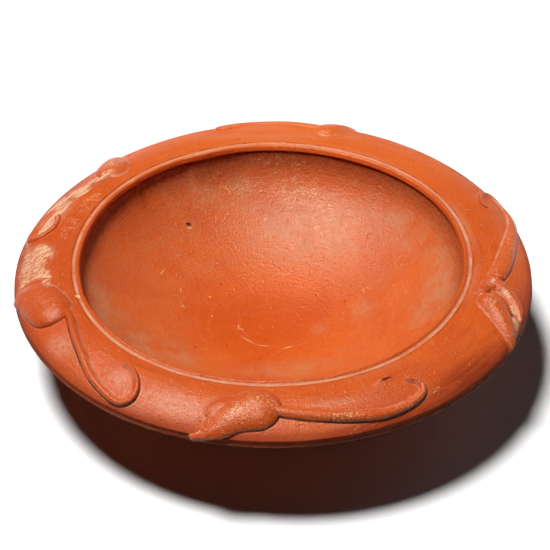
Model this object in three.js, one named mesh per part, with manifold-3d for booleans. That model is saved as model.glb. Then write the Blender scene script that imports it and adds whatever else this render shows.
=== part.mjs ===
// A shallow flanged dish in red-slipped earthenware: a thrown bowl on a luted foot ring, with leaves and
// tendrils of trailed slip on its flange. Millimetres, +Z up, standing on z = 0, with its front towards -Y.
import * as THREE from "three";
import Module from "manifold-3d";

const wasm = await Module();
wasm.setup();

// Bowl
const MOUTH_RADIUS = 66.9; // inner edge of the bead round the mouth
const BOWL_DEPTH = 30; // from the top of the flange down to the middle of the floor
const BOWL_FULLNESS = 0.65; // exponent of the bowl's section: 0.5 is half an ellipse, 1 is a parabola
const WALL_THICKNESS = 5; // at the mouth
const FLOOR_THICKNESS = 5.5; // in the middle

// Bead and groove round the mouth
const BEAD_WIDTH = 2.1;
const BEAD_RISE = 0.5; // above the top of the flange
const BEAD_DEPTH = 2.6; // from the top of the flange down to the bowl's wall
const BEAD_OVERHANG = 0.5; // how far the bead stands in over the bowl's wall
const GROOVE_WIDTH = 1.2;
const GROOVE_DEPTH = 0.6;

// Flange
const RIM_RADIUS = 90; // the dish's widest radius
const FLANGE_LEVEL = 3.8; // width of the level strip beside the groove
const FLANGE_DROP = 6.4; // from the top of the flange down to the upper edge of the lip
const FLANGE_THICKNESS = 4.6;
const LIP_HEIGHT = 2.5; // upright outer edge of the flange
const LIP_WIDTH = 3; // its lower edge
const LIP_ROUNDING = 0.6;
const FLANGE_FILLET = 3; // between the flange's underside and the bowl's wall

// Foot
const FOOT_RADIUS = 34; // outside, on the table
const FOOT_WIDTH = 5.5; // on the table
const FOOT_FLARE = 1; // how much wider the ring is at its seat, on each side
const FOOT_ROUNDING = 0.8;
const FOOT_SEAT_MARGIN = 0.4; // flat land beyond the ring's seat, on each side
const BASE_CLEARANCE = 4.5; // from the table up to the middle of the underside

// Trailed slip
const SLIP_GAP = 0.3; // joint line under each stroke, and between a tendril and its leaf
const STROKE_OVERLAP = 0.15; // how much higher a leaf's second stroke lies than its first
const TENDRIL_HEIGHT = 1.8;
const TENDRIL_TIP_WIDTH = 1.4;
const TENDRIL_END = 0.04; // share of a tendril's length that its rounded tip takes
const LEAF_END_FULLNESS = 0.1; // width of a leaf stroke's blunt ends, as a share of its full width
const TENDRIL_END_FULLNESS = 0.3;

// Mesh
const SLOPE_STEP = 0.001; // small turn, in radians, over which a section's slope is taken
const TURNED_SIDES = 72; // facets round the turned pieces
const BOWL_STEPS = 12; // facets from the middle of the bowl to its mouth
const ARC_STEPS = 8; // facets over the flange
const BEAD_STEPS = 4;
const FILLET_STEPS = 3;
const LEAF_STEPS = 12;
const LEAF_SIDES = 12;
const TENDRIL_STEPS = 28;
const TENDRIL_SIDES = 8;

// Each motif is a leaf and a tendril that meet at an angle, in degrees anticlockwise from the front.
// A leaf is two strokes that run out together at the lip. Their routes' points are [place round the flange
// from that angle, place across it], in widths of the flange, so that the leaf fits there: across it, 0 is
// the groove and 1 the upper edge of the lip. Their own widths are in widths of the flange too, and belly is
// where a stroke is widest, as a share of its length. A tendril's points are [degrees from that angle, place
// across the flange], so that it ends short of the next leaf, and its root's width is in widths of the flange.
const MOTIFS = [
  {
    at: 1.5,
    leaf: [
      {
        route: [[0, 0.48], [-0.37, 0.44], [-0.67, 0.62], [-0.89, 0.87], [-1.09, 1.05]],
        width: 0.72, height: 3, belly: 0.3,
      },
      {
        route: [[-0.61, 0.24], [-0.83, 0.43], [-0.92, 0.68], [-1.05, 1]],
        width: 0.33, height: 1.3, belly: 0.45,
      },
    ],
    tendril: [
      [-2.5, 0.5], [2.5, 0.55], [10.5, 0.65], [18.5, 0.76], [25, 0.8], [30.5, 0.75], [33.5, 0.64],
      [33.8, 0.48], [31.3, 0.39],
    ],
    rootWidth: 0.18,
  },
  {
    at: 82,
    leaf: [
      {
        route: [[-0.49, 0.25], [-0.67, 0.42], [-0.85, 0.62], [-1.02, 0.86], [-1.16, 1.03]],
        width: 0.55, height: 2.8, belly: 0.35,
      },
      {
        route: [[-0.37, 0.17], [-0.2, 0.3], [-0.23, 0.46], [-0.42, 0.68], [-0.67, 0.88], [-1.01, 1.03]],
        width: 0.33, height: 1.6, belly: 0.4,
      },
    ],
    tendril: [
      [-2.5, 0.42], [3, 0.47], [9, 0.57], [16, 0.69], [22, 0.8], [28, 0.88], [34, 0.88], [37, 0.76],
      [35.5, 0.6], [31.5, 0.51], [29, 0.58],
    ],
    rootWidth: 0.25,
  },
  {
    at: 171.5,
    leaf: [
      {
        route: [[0, 0.58], [-0.24, 0.54], [-0.49, 0.66], [-0.66, 0.88], [-0.76, 1.04]],
        width: 0.5, height: 2.5, belly: 0.35,
      },
      {
        route: [[-0.34, 0.33], [-0.55, 0.5], [-0.67, 0.75], [-0.75, 0.98]],
        width: 0.26, height: 1.2, belly: 0.45,
      },
    ],
    tendril: [
      [-3, 0.6], [2.5, 0.7], [8.5, 0.76], [15.5, 0.74], [21, 0.68], [23.5, 0.57], [21, 0.47], [18, 0.46],
    ],
    rootWidth: 0.17,
  },
  {
    at: 233,
    leaf: [
      {
        route: [[-0.03, 0.44], [-0.27, 0.43], [-0.49, 0.6], [-0.65, 0.86], [-0.76, 1.04]],
        width: 0.55, height: 2.6, belly: 0.35,
      },
      {
        route: [[-0.37, 0.25], [-0.55, 0.42], [-0.67, 0.68], [-0.75, 0.98]],
        width: 0.26, height: 1.2, belly: 0.45,
      },
    ],
    tendril: [
      [-3, 0.5], [3, 0.56], [10, 0.69], [17, 0.8], [23.5, 0.84], [27, 0.72], [26.5, 0.55], [23, 0.43],
      [19.3, 0.43], [17.3, 0.55],
    ],
    rootWidth: 0.18,
  },
  {
    at: 296,
    leaf: [
      {
        route: [[0, 0.4], [-0.29, 0.46], [-0.56, 0.7], [-0.77, 0.93], [-0.9, 1.05]],
        width: 0.61, height: 2.8, belly: 0.35,
      },
      {
        route: [[-0.49, 0.3], [-0.82, 0.45], [-0.98, 0.68], [-0.93, 0.98]],
        width: 0.35, height: 1.3, belly: 0.45,
      },
    ],
    tendril: [
      [-3, 0.36], [3, 0.4], [9, 0.51], [16, 0.67], [23, 0.79], [28.5, 0.84], [31.6, 0.74], [31.2, 0.55],
      [28.5, 0.38], [25, 0.31],
    ],
    rootWidth: 0.17,
  },
];

// Places that follow from the sizes above
const bowlRadius = MOUTH_RADIUS + BEAD_OVERHANG;
const grooveInner = MOUTH_RADIUS + BEAD_WIDTH;
const grooveMiddle = grooveInner + GROOVE_WIDTH / 2;
const grooveOuter = grooveInner + GROOVE_WIDTH;
const crestRadius = grooveOuter + FLANGE_LEVEL;
const floorHeight = BASE_CLEARANCE + FLOOR_THICKNESS;
const flangeTop = floorHeight + BOWL_DEPTH;
const mouthHeight = flangeTop - BEAD_DEPTH;
const lipTop = flangeTop - FLANGE_DROP;
const lipFoot = lipTop - LIP_HEIGHT;
const flangeUnder = flangeTop - FLANGE_THICKNESS;
const seatOuter = FOOT_RADIUS + FOOT_FLARE;
const seatInner = FOOT_RADIUS - FOOT_WIDTH - FOOT_FLARE;

const flangeArc = new THREE.EllipseCurve(
  crestRadius, lipTop, RIM_RADIUS - crestRadius, FLANGE_DROP, Math.PI / 2, 0, true,
);
const levelWidth = crestRadius - grooveMiddle;
const flangeWidth = levelWidth + flangeArc.getLength();
const middleRadius = (grooveMiddle + RIM_RADIUS) / 2;

const at = (radius, height) => new THREE.Vector2(radius, height);
const roundAt = (degrees) => THREE.MathUtils.degToRad(degrees) * middleRadius;

// Section of the bowl's inner face, where the angle runs from 0 in the middle to a quarter turn at the mouth
function bowlPoint(angle) {
  const share = Math.sin(angle);
  const rise = 1 - Math.pow(Math.cos(angle) ** 2, BOWL_FULLNESS);
  return at(bowlRadius * share, floorHeight + (mouthHeight - floorHeight) * rise);
}

// Section of the bowl's outer face, one thickness square to the inner face
function underPoint(angle) {
  const along = bowlPoint(angle + SLOPE_STEP).sub(bowlPoint(angle - SLOPE_STEP)).normalize();
  const thickness = THREE.MathUtils.lerp(FLOOR_THICKNESS, WALL_THICKNESS, Math.sin(angle));
  return bowlPoint(angle).addScaledVector(at(along.y, -along.x), thickness);
}

const bowlAngles = Array.from({ length: BOWL_STEPS + 1 }, (_, i) => (i / BOWL_STEPS) * (Math.PI / 2));
const underside = bowlAngles.slice(0, -1).map(underPoint);

// The foot's seat lies at the mean height of the curved underside over the foot's width
function footSeatHeight() {
  const heightAt = (radius) => {
    const next = underside.findIndex((point) => point.x > radius);
    const [a, b] = [underside[next - 1], underside[next]];
    return THREE.MathUtils.lerp(a.y, b.y, (radius - a.x) / (b.x - a.x));
  };
  return (heightAt(seatInner) + heightAt(seatOuter)) / 2;
}

const footHeight = footSeatHeight();

// Turns a section of [radius, height] points about the Z axis
function turned(section) {
  const geometry = new THREE.LatheGeometry(section, TURNED_SIDES);
  return geometry.rotateX(Math.PI / 2);
}

function dishBody() {
  const landInner = seatInner - FOOT_SEAT_MARGIN;
  const landOuter = seatOuter + FOOT_SEAT_MARGIN;
  const wall = underside.filter((p) => p.x > landOuter && p.y < flangeUnder - FLANGE_FILLET);
  const wallTop = wall.at(-1);
  const fillet = new THREE.QuadraticBezierCurve(
    wallTop, at(wallTop.x + FLANGE_FILLET / 2, flangeUnder), at(wallTop.x + 2 * FLANGE_FILLET, flangeUnder),
  );
  const flangeBelow = new THREE.QuadraticBezierCurve(
    at(wallTop.x + 2 * FLANGE_FILLET, flangeUnder), at(RIM_RADIUS - LIP_WIDTH, flangeUnder),
    at(RIM_RADIUS - LIP_WIDTH, lipFoot),
  );
  const bead = new THREE.EllipseCurve(
    MOUTH_RADIUS + BEAD_WIDTH / 2, flangeTop, BEAD_WIDTH / 2, BEAD_RISE, 0, Math.PI,
  );
  return turned([
    ...underside.filter((p) => p.x < landInner),
    at(landInner, footHeight),
    at(landOuter, footHeight),
    ...wall.slice(0, -1),
    ...fillet.getPoints(FILLET_STEPS),
    ...flangeBelow.getPoints(FILLET_STEPS).slice(1),
    at(RIM_RADIUS - LIP_ROUNDING, lipFoot),
    at(RIM_RADIUS, lipFoot + LIP_ROUNDING),
    ...flangeArc.getPoints(ARC_STEPS).reverse(),
    at(grooveOuter, flangeTop),
    at(grooveMiddle, flangeTop - GROOVE_DEPTH),
    ...bead.getPoints(BEAD_STEPS),
    at(MOUTH_RADIUS, mouthHeight + BEAD_OVERHANG),
    ...bowlAngles.map(bowlPoint).reverse(),
  ]);
}

function footRing() {
  const footInner = FOOT_RADIUS - FOOT_WIDTH;
  return turned([
    at(footInner + FOOT_ROUNDING, 0),
    at(FOOT_RADIUS - FOOT_ROUNDING, 0),
    at(FOOT_RADIUS, FOOT_ROUNDING),
    at(seatOuter, footHeight),
    at(seatInner, footHeight),
    at(footInner, FOOT_ROUNDING),
    at(footInner + FOOT_ROUNDING, 0),
  ]);
}

// Point and outward direction of the flange's section, at a distance over it from the groove
function flangeSection(distance) {
  if (distance <= levelWidth) {
    return { point: at(grooveMiddle + distance, flangeTop), along: at(1, 0) };
  }
  if (distance < flangeWidth) {
    const share = (distance - levelWidth) / (flangeWidth - levelWidth);
    return { point: flangeArc.getPointAt(share), along: flangeArc.getTangentAt(share) };
  }
  return { point: at(RIM_RADIUS, lipTop + flangeWidth - distance), along: at(0, -1) };
}

// Point on the flange, lifted square to its surface. The angle runs anticlockwise from the front.
function flangePoint(angle, distance, lift) {
  const { point, along } = flangeSection(distance);
  const radius = point.x - along.y * lift;
  return [radius * Math.sin(angle), -radius * Math.cos(angle), point.y + along.x * lift];
}

// A line on the flange laid out flat: round it at its middle radius, and across it from the groove
function flangeLine(points) {
  return new THREE.SplineCurve(points.map(([round, across]) => at(round, across * flangeWidth)));
}

// A stroke of slip: an arched section, flat against the flange, carried along a line. halfWidth and height
// give its size at a share of its length, and raise lifts its underside off the flange.
function stroke({ line, steps, sides, halfWidth, height, raise }) {
  const vertices = [];
  const triangles = [];
  for (let i = 0; i <= steps; i++) {
    const share = (1 - Math.cos((Math.PI * i) / steps)) / 2;
    const middle = line.getPointAt(share);
    const forward = line.getTangentAt(share);
    for (let k = 0; k < sides; k++) {
      const turn = (2 * Math.PI * k) / sides;
      const aside = halfWidth(share) * Math.cos(turn);
      const lift = raise + height(share) * Math.max(0, Math.sin(turn));
      const angle = (middle.x - forward.y * aside) / middleRadius;
      vertices.push(...flangePoint(angle, middle.y + forward.x * aside, lift));
      if (i < steps) {
        const here = i * sides + k;
        const beside = i * sides + ((k + 1) % sides);
        triangles.push(here, here + sides, beside, beside, here + sides, beside + sides);
      }
    }
  }
  // Triangles from the crown of the arch close the ends, because the whole of the section faces the crown
  const crown = sides / 4;
  const last = steps * sides;
  for (let k = 1; k < sides - 1; k++) {
    const here = (crown + k) % sides;
    const beside = (crown + k + 1) % sides;
    triangles.push(crown, here, beside, last + crown, last + beside, last + here);
  }
  return new wasm.Manifold(
    new wasm.Mesh({
      numProp: 3,
      vertProperties: new Float32Array(vertices),
      triVerts: new Uint32Array(triangles),
    }),
  );
}

// Fullness of a leaf's stroke along its length: a round head, its widest at the belly, and a drawn-out tail
function leafFullness(share, belly) {
  const head = Math.sqrt(1 - Math.max(0, 1 - share / belly) ** 2);
  const tail = (1 + Math.cos(Math.PI * Math.max(0, (share - belly) / (1 - belly)))) / 2;
  return THREE.MathUtils.lerp(LEAF_END_FULLNESS, 1, Math.min(head, tail));
}

// Both strokes of a leaf, run together. grow swells them on every side, to cut the tendril that meets them.
function leaf(motif, grow) {
  const start = roundAt(motif.at);
  const strokes = motif.leaf.map(({ route, width, height, belly }, index) => stroke({
    line: flangeLine(route.map(([round, across]) => [start + round * flangeWidth, across])),
    steps: LEAF_STEPS,
    sides: LEAF_SIDES,
    halfWidth: (share) => ((width * flangeWidth) / 2) * leafFullness(share, belly) + grow,
    height: (share) => height * Math.sqrt(leafFullness(share, belly)) + 2 * grow,
    raise: SLIP_GAP + index * STROKE_OVERLAP - grow,
  }));
  return strokes[0].add(strokes[1]);
}

// A tendril, cut clear of the leaf that it grows from
function tendril(motif) {
  const ending = (share) => Math.sqrt(1 - Math.max(0, 1 - (1 - share) / TENDRIL_END) ** 2);
  const fullness = (share) => THREE.MathUtils.lerp(TENDRIL_END_FULLNESS, 1, ending(share));
  const rootWidth = motif.rootWidth * flangeWidth;
  const width = (share) => THREE.MathUtils.lerp(rootWidth, TENDRIL_TIP_WIDTH, share);
  const whole = stroke({
    line: flangeLine(motif.tendril.map(([degrees, across]) => [roundAt(motif.at + degrees), across])),
    steps: TENDRIL_STEPS,
    sides: TENDRIL_SIDES,
    halfWidth: (share) => (width(share) / 2) * fullness(share),
    height: (share) => TENDRIL_HEIGHT * (width(share) / rootWidth) * fullness(share),
    raise: SLIP_GAP,
  });
  return whole.subtract(leaf(motif, SLIP_GAP));
}

function toGeometry(solid) {
  const { vertProperties, triVerts } = solid.getMesh();
  const geometry = new THREE.BufferGeometry();
  geometry.setAttribute("position", new THREE.BufferAttribute(vertProperties, 3));
  geometry.setIndex(new THREE.BufferAttribute(triVerts, 1));
  geometry.computeVertexNormals();
  return geometry;
}

const bodySlip = new THREE.MeshStandardMaterial({ color: 0xb9532c, roughness: 0.5, metalness: 0 });
const footSlip = new THREE.MeshStandardMaterial({ color: 0xb25a38, roughness: 0.65, metalness: 0 });
const leafSlip = new THREE.MeshStandardMaterial({ color: 0xc05e36, roughness: 0.48, metalness: 0 });
const tendrilSlip = new THREE.MeshStandardMaterial({ color: 0xbd5a33, roughness: 0.48, metalness: 0 });

const dish = new THREE.Group();

function addPiece(name, geometry, material) {
  const piece = new THREE.Mesh(geometry, material);
  piece.name = name;
  dish.add(piece);
}

addPiece("dish_body", dishBody(), bodySlip);
addPiece("foot_ring", footRing(), footSlip);
MOTIFS.forEach((motif, index) => {
  addPiece(`leaf_${index + 1}`, toGeometry(leaf(motif, 0)), leafSlip);
  addPiece(`tendril_${index + 1}`, toGeometry(tendril(motif)), tendrilSlip);
});

export default dish;
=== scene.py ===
"""Redware dish: its thrown body, foot ring, trailed leaves and tendrils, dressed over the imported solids."""

import math

import bpy
import numpy as np
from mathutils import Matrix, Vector


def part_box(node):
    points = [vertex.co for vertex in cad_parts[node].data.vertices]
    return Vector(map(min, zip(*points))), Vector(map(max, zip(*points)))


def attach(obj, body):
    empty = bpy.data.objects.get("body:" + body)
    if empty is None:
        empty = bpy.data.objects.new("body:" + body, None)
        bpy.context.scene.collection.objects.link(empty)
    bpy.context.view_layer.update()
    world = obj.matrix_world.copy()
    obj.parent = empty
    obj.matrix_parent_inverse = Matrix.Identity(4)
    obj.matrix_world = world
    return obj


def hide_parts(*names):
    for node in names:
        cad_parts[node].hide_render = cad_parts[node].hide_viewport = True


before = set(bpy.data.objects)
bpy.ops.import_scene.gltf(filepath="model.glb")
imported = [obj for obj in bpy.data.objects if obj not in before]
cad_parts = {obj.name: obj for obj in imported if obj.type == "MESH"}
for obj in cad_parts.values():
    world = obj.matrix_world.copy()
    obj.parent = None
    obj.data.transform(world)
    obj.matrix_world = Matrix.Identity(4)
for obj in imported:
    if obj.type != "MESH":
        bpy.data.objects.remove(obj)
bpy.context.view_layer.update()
BODY_LOW, BODY_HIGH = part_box("dish_body")
FOOT_LOW, FOOT_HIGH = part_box("foot_ring")

bl_info = {
    "name": "Redware Dish",
    "version": (1, 0, 0),
    "blender": (4, 5, 0),
    "location": "View3D > Sidebar > Dish",
    "description": "Throws a flanged redware dish and trails slip leaves and tendrils on its flange",
    "category": "Add Mesh",
}

MM = 0.001
TURN = 2 * math.pi
# Parts of the body's section, in order from the middle of the floor.
BOWL, BEAD, CROWN, FLANGE, LIP, UNDER, WALL = range(7)

# Five motifs of trailed slip. Each starts at an angle round from the front, in degrees, and has leaf
# strokes and a tendril. A leaf stroke's route runs [round, across] in flange widths. Its half width at the
# head is in flange widths too, and falls by a power of its length to a share of that at the tip. A
# tendril's route runs [degrees round, share across], and its widths are [share along, flange widths].
# Heights are in millimetres. A leaf is drawn out from its middle, and its strokes run together over its
# blend, in millimetres. Edge shade is the share of painted shade at the foot of the strokes' crisp side,
# and lime the shares of pale lime along the leaf and the tendril.
MOTIFS = (
    {
        "at": 1.5, "middle": (-0.5, 0.55), "blend": 1.8, "edge_shade": 1.0, "lime": (0.4, 0.5),
        "leaf": (
            {"route": ((-0.33, 0.45), (-0.6, 0.6), (-0.85, 0.85), (-1.1, 1.04)),
             "half": 0.355, "tip": 0.2, "taper": 0.9, "height": 3.0},
            {"route": ((-0.6, 0.43), (-0.76, 0.47), (-0.9, 0.55)),
             "half": 0.2, "tip": 0.8, "taper": 1.0, "height": 1.1},
            {"route": ((-0.7, 0.55), (-0.84, 0.68), (-0.98, 0.86)),
             "half": 0.17, "tip": 0.6, "taper": 1.0, "height": 1.0},
        ),
        "tendril": ((-4.5, 0.47), (1.5, 0.54), (11, 0.655), (18.3, 0.745), (23.7, 0.79), (29.3, 0.775),
                    (33, 0.72), (34.5, 0.62), (34, 0.49), (31.5, 0.39)),
        "widths": ((0, 0.15), (0.15, 0.2), (0.45, 0.18), (0.75, 0.13), (1, 0.1)), "height": 1.8,
    },
    {
        "at": 82, "middle": (-0.68, 0.42), "blend": 0.8, "edge_shade": 0.5, "lime": (0.45, 0.9),
        "leaf": (
            {"route": ((-0.66, 0.37), (-0.81, 0.53), (-0.96, 0.7), (-1.1, 0.86), (-1.22, 1.02)),
             "half": 0.2, "tip": 0.08, "taper": 1.9, "height": 2.6},
            {"route": ((-0.44, 0.19), (-0.35, 0.215), (-0.27, 0.28), (-0.23, 0.38), (-0.27, 0.5),
                       (-0.37, 0.64), (-0.52, 0.78), (-0.7, 0.88)),
             "half": 0.12, "tip": 0.3, "taper": 1.8, "height": 1.7},
            {"route": ((-0.24, 0.3), (-0.21, 0.36), (-0.23, 0.43)),
             "half": 0.155, "tip": 0.9, "taper": 1.0, "height": 1.75},
        ),
        "tendril": ((-1.2, 0.36), (2, 0.43), (9, 0.54), (15, 0.65), (20, 0.77), (24.8, 0.87), (29, 0.935),
                    (32.5, 0.95), (35, 0.89), (36, 0.77), (35, 0.65), (33, 0.57), (31, 0.545), (29.6, 0.59)),
        "widths": ((0, 0.27), (0.15, 0.28), (0.35, 0.23), (0.5, 0.17), (0.65, 0.11), (0.8, 0.09), (1, 0.07)),
        "height": 1.7,
    },
    {
        "at": 171.5, "middle": (-0.45, 0.62), "blend": 0.8, "edge_shade": 0.0, "lime": (0.4, 0.4),
        "leaf": (
            {"route": ((-0.36, 0.53), (-0.45, 0.68), (-0.6, 0.85), (-0.72, 1.0)),
             "half": 0.22, "tip": 0.25, "taper": 1.2, "height": 1.7},
            {"route": ((-0.5, 0.5), (-0.58, 0.62), (-0.66, 0.78), (-0.7, 0.92)),
             "half": 0.12, "tip": 0.5, "taper": 1.0, "height": 0.8},
        ),
        "tendril": ((-4, 0.62), (2.5, 0.72), (8, 0.79), (14, 0.8), (19, 0.77), (22.5, 0.69), (21.5, 0.61),
                    (19, 0.6)),
        "widths": ((0, 0.14), (0.45, 0.12), (1, 0.085)), "height": 0.9,
    },
    {
        "at": 233, "middle": (-0.42, 0.55), "blend": 0.8, "edge_shade": 0.0, "lime": (0.6, 0.6),
        "leaf": (
            {"route": ((-0.34, 0.46), (-0.5, 0.65), (-0.65, 0.88), (-0.76, 1.02)),
             "half": 0.27, "tip": 0.2, "taper": 1.2, "height": 2.0},
            {"route": ((-0.55, 0.42), (-0.64, 0.6), (-0.7, 0.8), (-0.74, 0.95)),
             "half": 0.11, "tip": 0.5, "taper": 1.0, "height": 1.0},
        ),
        "tendril": ((-4, 0.36), (1, 0.38), (6.3, 0.45), (11, 0.54), (18, 0.71), (22.8, 0.79), (26, 0.81),
                    (27, 0.7), (26, 0.56), (23.5, 0.455), (19.7, 0.46), (17.6, 0.54)),
        "widths": ((0, 0.12), (0.3, 0.09), (0.55, 0.1), (0.68, 0.14), (0.8, 0.11), (0.92, 0.07), (1, 0.06)),
        "height": 1.0,
    },
    {
        "at": 296, "middle": (-0.58, 0.58), "blend": 1.5, "edge_shade": 1.0, "lime": (0.6, 0.7),
        "leaf": (
            {"route": ((-0.36, 0.5), (-0.6, 0.56), (-0.8, 0.66), (-0.88, 0.93)),
             "half": 0.34, "tip": 0.2, "taper": 3.0, "height": 2.7},
            {"route": ((-1.0, 0.44), (-1.08, 0.62), (-1.02, 0.8), (-0.9, 0.95)),
             "half": 0.075, "tip": 0.6, "taper": 1.0, "height": 0.6},
        ),
        "tendril": ((-3, 0.32), (0.5, 0.33), (6.2, 0.42), (13, 0.56), (19, 0.71), (24.8, 0.81), (28.8, 0.84),
                    (31.2, 0.74), (31.2, 0.58), (29, 0.41), (25.8, 0.31), (23, 0.32)),
        "widths": ((0, 0.12), (0.2, 0.14), (0.45, 0.135), (0.75, 0.11), (1, 0.09)), "height": 1.7,
    },
)

# Places where the flange was pressed out of true: angle and spread in degrees, depth or swell in
# millimetres. Both grow by a power of the share across, from the flange's crest to the rim.
FLANGE_SAGS = (
    (250, 40, 1.9), (60, 45, 0.4), (213, 30, 0.8), (322, 22, 0.7),
)
RIM_SWELLS = (
    (270, 40, 0.7), (45, 40, 0.4), (88, 28, 0.5),
)
SAG_POWER = 1.5
# Where the flange turns down more sharply, towards the front: angle and spread in degrees.
FALL_ANGLE, FALL_SPREAD = 350, 85
# Places where the mouth was pressed out of round: angle and spread in degrees, and millimetres outwards.
# The bowl follows by a power of its radius.
MOUTH_SWELLS = (
    (314, 30, 1.1), (122, 28, 0.75), (185, 18, 0.35), (255, 20, -0.45), (60, 18, -0.35),
)
SWELL_POWER = 4
# Where the bead leans in, and the wall's top with it: angle and spread in degrees, millimetres at each, and
# the share of the bowl's radius where the wall's top starts.
LEAN_ANGLE, LEAN_SPREAD, BEAD_LEAN, WALL_LEAN = 176, 50, 0.5, 1.0
WALL_TOP_SHARE = 0.88
# Where the slip is painted lighter, at the back, as painted light, and deeper, at the left, as painted
# shade: angle and spread in degrees.
BACK_ANGLE, BACK_SPREAD = 175, 52
LEFT_ANGLE, LEFT_SPREAD = 285, 42
# Lumps and nicks along the bead: angle and spread in degrees, rise and inward push in millimetres.
BEAD_LUMPS = (
    (202, 5, 0.25, 1.2), (208.5, 1.6, -0.4, -0.5), (195, 4, 0.1, 0.5), (228, 1.3, 0.5, 0.8),
    (288, 1.0, -0.35, -0.2), (310, 9, 0.1, 0.1), (100, 12, -0.1, 0.1),
)
# Lumps on the flange: angle in degrees, then radius, half length round, half width across and rise in
# millimetres.
FLANGE_LUMPS = (
    (29, 76.2, 3.2, 1.1, 0.7), (27.2, 75.8, 1.4, 1.0, 0.35), (38.5, 86.5, 1.6, 1.2, 0.25),
)
# Waves along the bead and round the foot ring: millimetres, waves in a turn, and start in radians. The
# foot's waves are full at a height above the floor in millimetres.
BEAD_WAVES = ((0.07, 7, 1.3), (0.05, 17, 0))
FOOT_WAVES = ((0.08, 5, 0.7),)
FOOT_WAVE_HEIGHT = 3
# Throwing rings in the bowl, in millimetres: their rise, the run for one radian of their wave, and the
# radius where they are full. They sway by so many radians round the dish.
RING_RISE, RING_RUN, RING_FULL = 0.012, 0.95, 8
RING_SWAY = 2
# How far the groove's deepest line lies inside its radius, as a share of half its width.
GROOVE_LEAN = 0.25
# A stroke's crisp side, as a direction round and across the flange, and the shares of a tendril's half
# width that its crisp side and its soft side take.
CRISP_SIDE = (0.6, 0.8)
CRISP_REACH = 0.85
SOFT_REACH = 1.2
# Powers of a stroke's fall from its middle to its edge, on its soft side and on its crisp side.
SOFT_FALL = 1.2
CRISP_FULLNESS, CRISP_FALL = 2.2, 0.55
# How fast a tendril's section turns from soft to crisp at its middle.
CRISP_TURN = 4
# Longest reach of a leaf from its middle, in flange widths, and how its rings crowd towards its edge.
LEAF_REACH = 1.1
RING_CROWDING = 1.8
# Share of a leaf's reach at which its underside closes to a point.
UNDER_SHARE = 0.2
# Shares of a tendril's length over which its root and its tip round off, and of its width that is sunk.
ROOT_SHARE, TIP_SHARE, SUNK_SHARE = 0.02, 0.03, 0.8
# Half width in millimetres under which a tendril's film narrows with it.
FILM_HALF = 0.4
# Half of the run over which the flange's slope is taken, in millimetres.
SLOPE_RUN = 0.4
# Keeps a division by a distance of nothing finite.
TINY = 1e-9

# Points along the parts of the body's section. The underside has a run under the flange and a fillet.
BOWL_POINTS, BEAD_POINTS, CROWN_POINTS, FLANGE_POINTS = 46, 18, 34, 30
LIP_POINTS, UNDER_POINTS, FILLET_POINTS, WALL_POINTS = 19, 14, 9, 34
# Points along lines that others are measured on, and to each span of a smooth route.
BOWL_FINE, FLANGE_FINE, WALL_FINE, TENDRIL_FINE, WIDTHS_FINE, SPAN_FINE = 400, 600, 300, 400, 200, 24
# Points round the body, the foot ring and the floor.
BODY_SIDES, FOOT_SIDES, FLOOR_SIDES = 504, 360, 96
# Points along each straight of the foot ring's section and along each of its rounded corners.
FOOT_SIDE_POINTS, FOOT_INSIDE_POINTS, FOOT_CORNER_POINTS = 8, 6, 6
# Points along a leaf stroke, round a leaf's outline while it is found, and round the leaf.
STROKE_POINTS, OUTLINE_POINTS, LEAF_SIDES = 70, 360, 320
# Steps along each line on which the outline is sought, and rings from a leaf's middle to its edge.
REACH_STEPS, LEAF_RINGS = 110, 56
# Rings along a tendril, points over its arch, and steps across a film of slip and across an underside.
TENDRIL_RINGS, ARCH_POINTS, FILM_STEPS, UNDER_RINGS = 170, 31, 5, 4
# Points along the sweep at the floor's edge.
SWEEP_POINTS = 12

# Placed marks: angle in degrees, then radius, half length round the dish and half width across it in
# millimetres, a turn in degrees off the dish's own round, and a strength.
SILT_MARKS = (
    (283, 62, 30, 8, 0, 1.0), (300, 54, 26, 11, 0, 0.9), (306, 42, 18, 8, 0, 0.7),
    (10, 30, 24, 11, 0, 0.6), (92, 59, 34, 9, 0, 0.95), (80, 54, 20, 8, 0, 0.75), (77, 17, 6, 5, 0, 0.7),
    (95, 31, 8, 6, 0, 0.5), (165, 44, 38, 20, 0, 0.6), (200, 60, 34, 10, 0, 0.5),
    (228, 52, 24, 12, 0, 0.2), (0, 58, 50, 12, 0, 0.7), (130, 58, 30, 10, 0, 0.6),
)
# Pinkish bloom on the flange, partly rubbed skin and partly painted sheen, as on the front flange.
BLOOM_AND_SHEEN_MARKS = (
    (302.5, 85, 9, 6, 0, 0.9), (322, 81.5, 7, 6, 0, 0.7), (337, 83, 14, 7, 0, 0.7),
    (13, 80, 22, 2.2, 0, 0.7), (16, 86.8, 10, 2, 0, 0.7), (180, 74, 45, 4, 0, 0.5),
    (271, 85, 15, 8.5, 0, 1.3), (278, 86, 9, 6.5, 0, 1.3), (328, 88, 14, 2.5, 0, 0.8),
    (249, 82.8, 18, 6, -6, 1.6), (242, 82, 8, 4.5, 0, 1.6), (265.5, 79.5, 8, 2.6, 35, 1.0),
)
CREAM_MARKS = (
    (271.5, 84.5, 15, 7, 0, 0.78), (266.5, 80.5, 8, 3, 35, 0.95), (279, 86, 9, 6, 0, 0.9),
    (277.5, 80.5, 7, 4, 0, 0.95), (254, 84.2, 13, 5.5, -4, 1.0), (247.5, 84, 12, 5.5, -6, 1.1),
    (241, 81.8, 10, 3.8, -10, 1.05), (234, 80.6, 8, 2.4, -6, 0.95), (263, 88, 6, 3, 0, 0.6),
    (69, 88.5, 5, 1.8, 22, 1.2), (66.4, 89.6, 4, 1.5, 9, 1.1), (38.7, 86.8, 3, 2.2, 0, 0.55),
    (17.2, 89.4, 5, 1.4, 0, 0.5), (288, 70.6, 1.6, 1.2, 0, 1.2), (27.3, 75.8, 1.2, 0.8, 0, 0.9),
)
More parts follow.
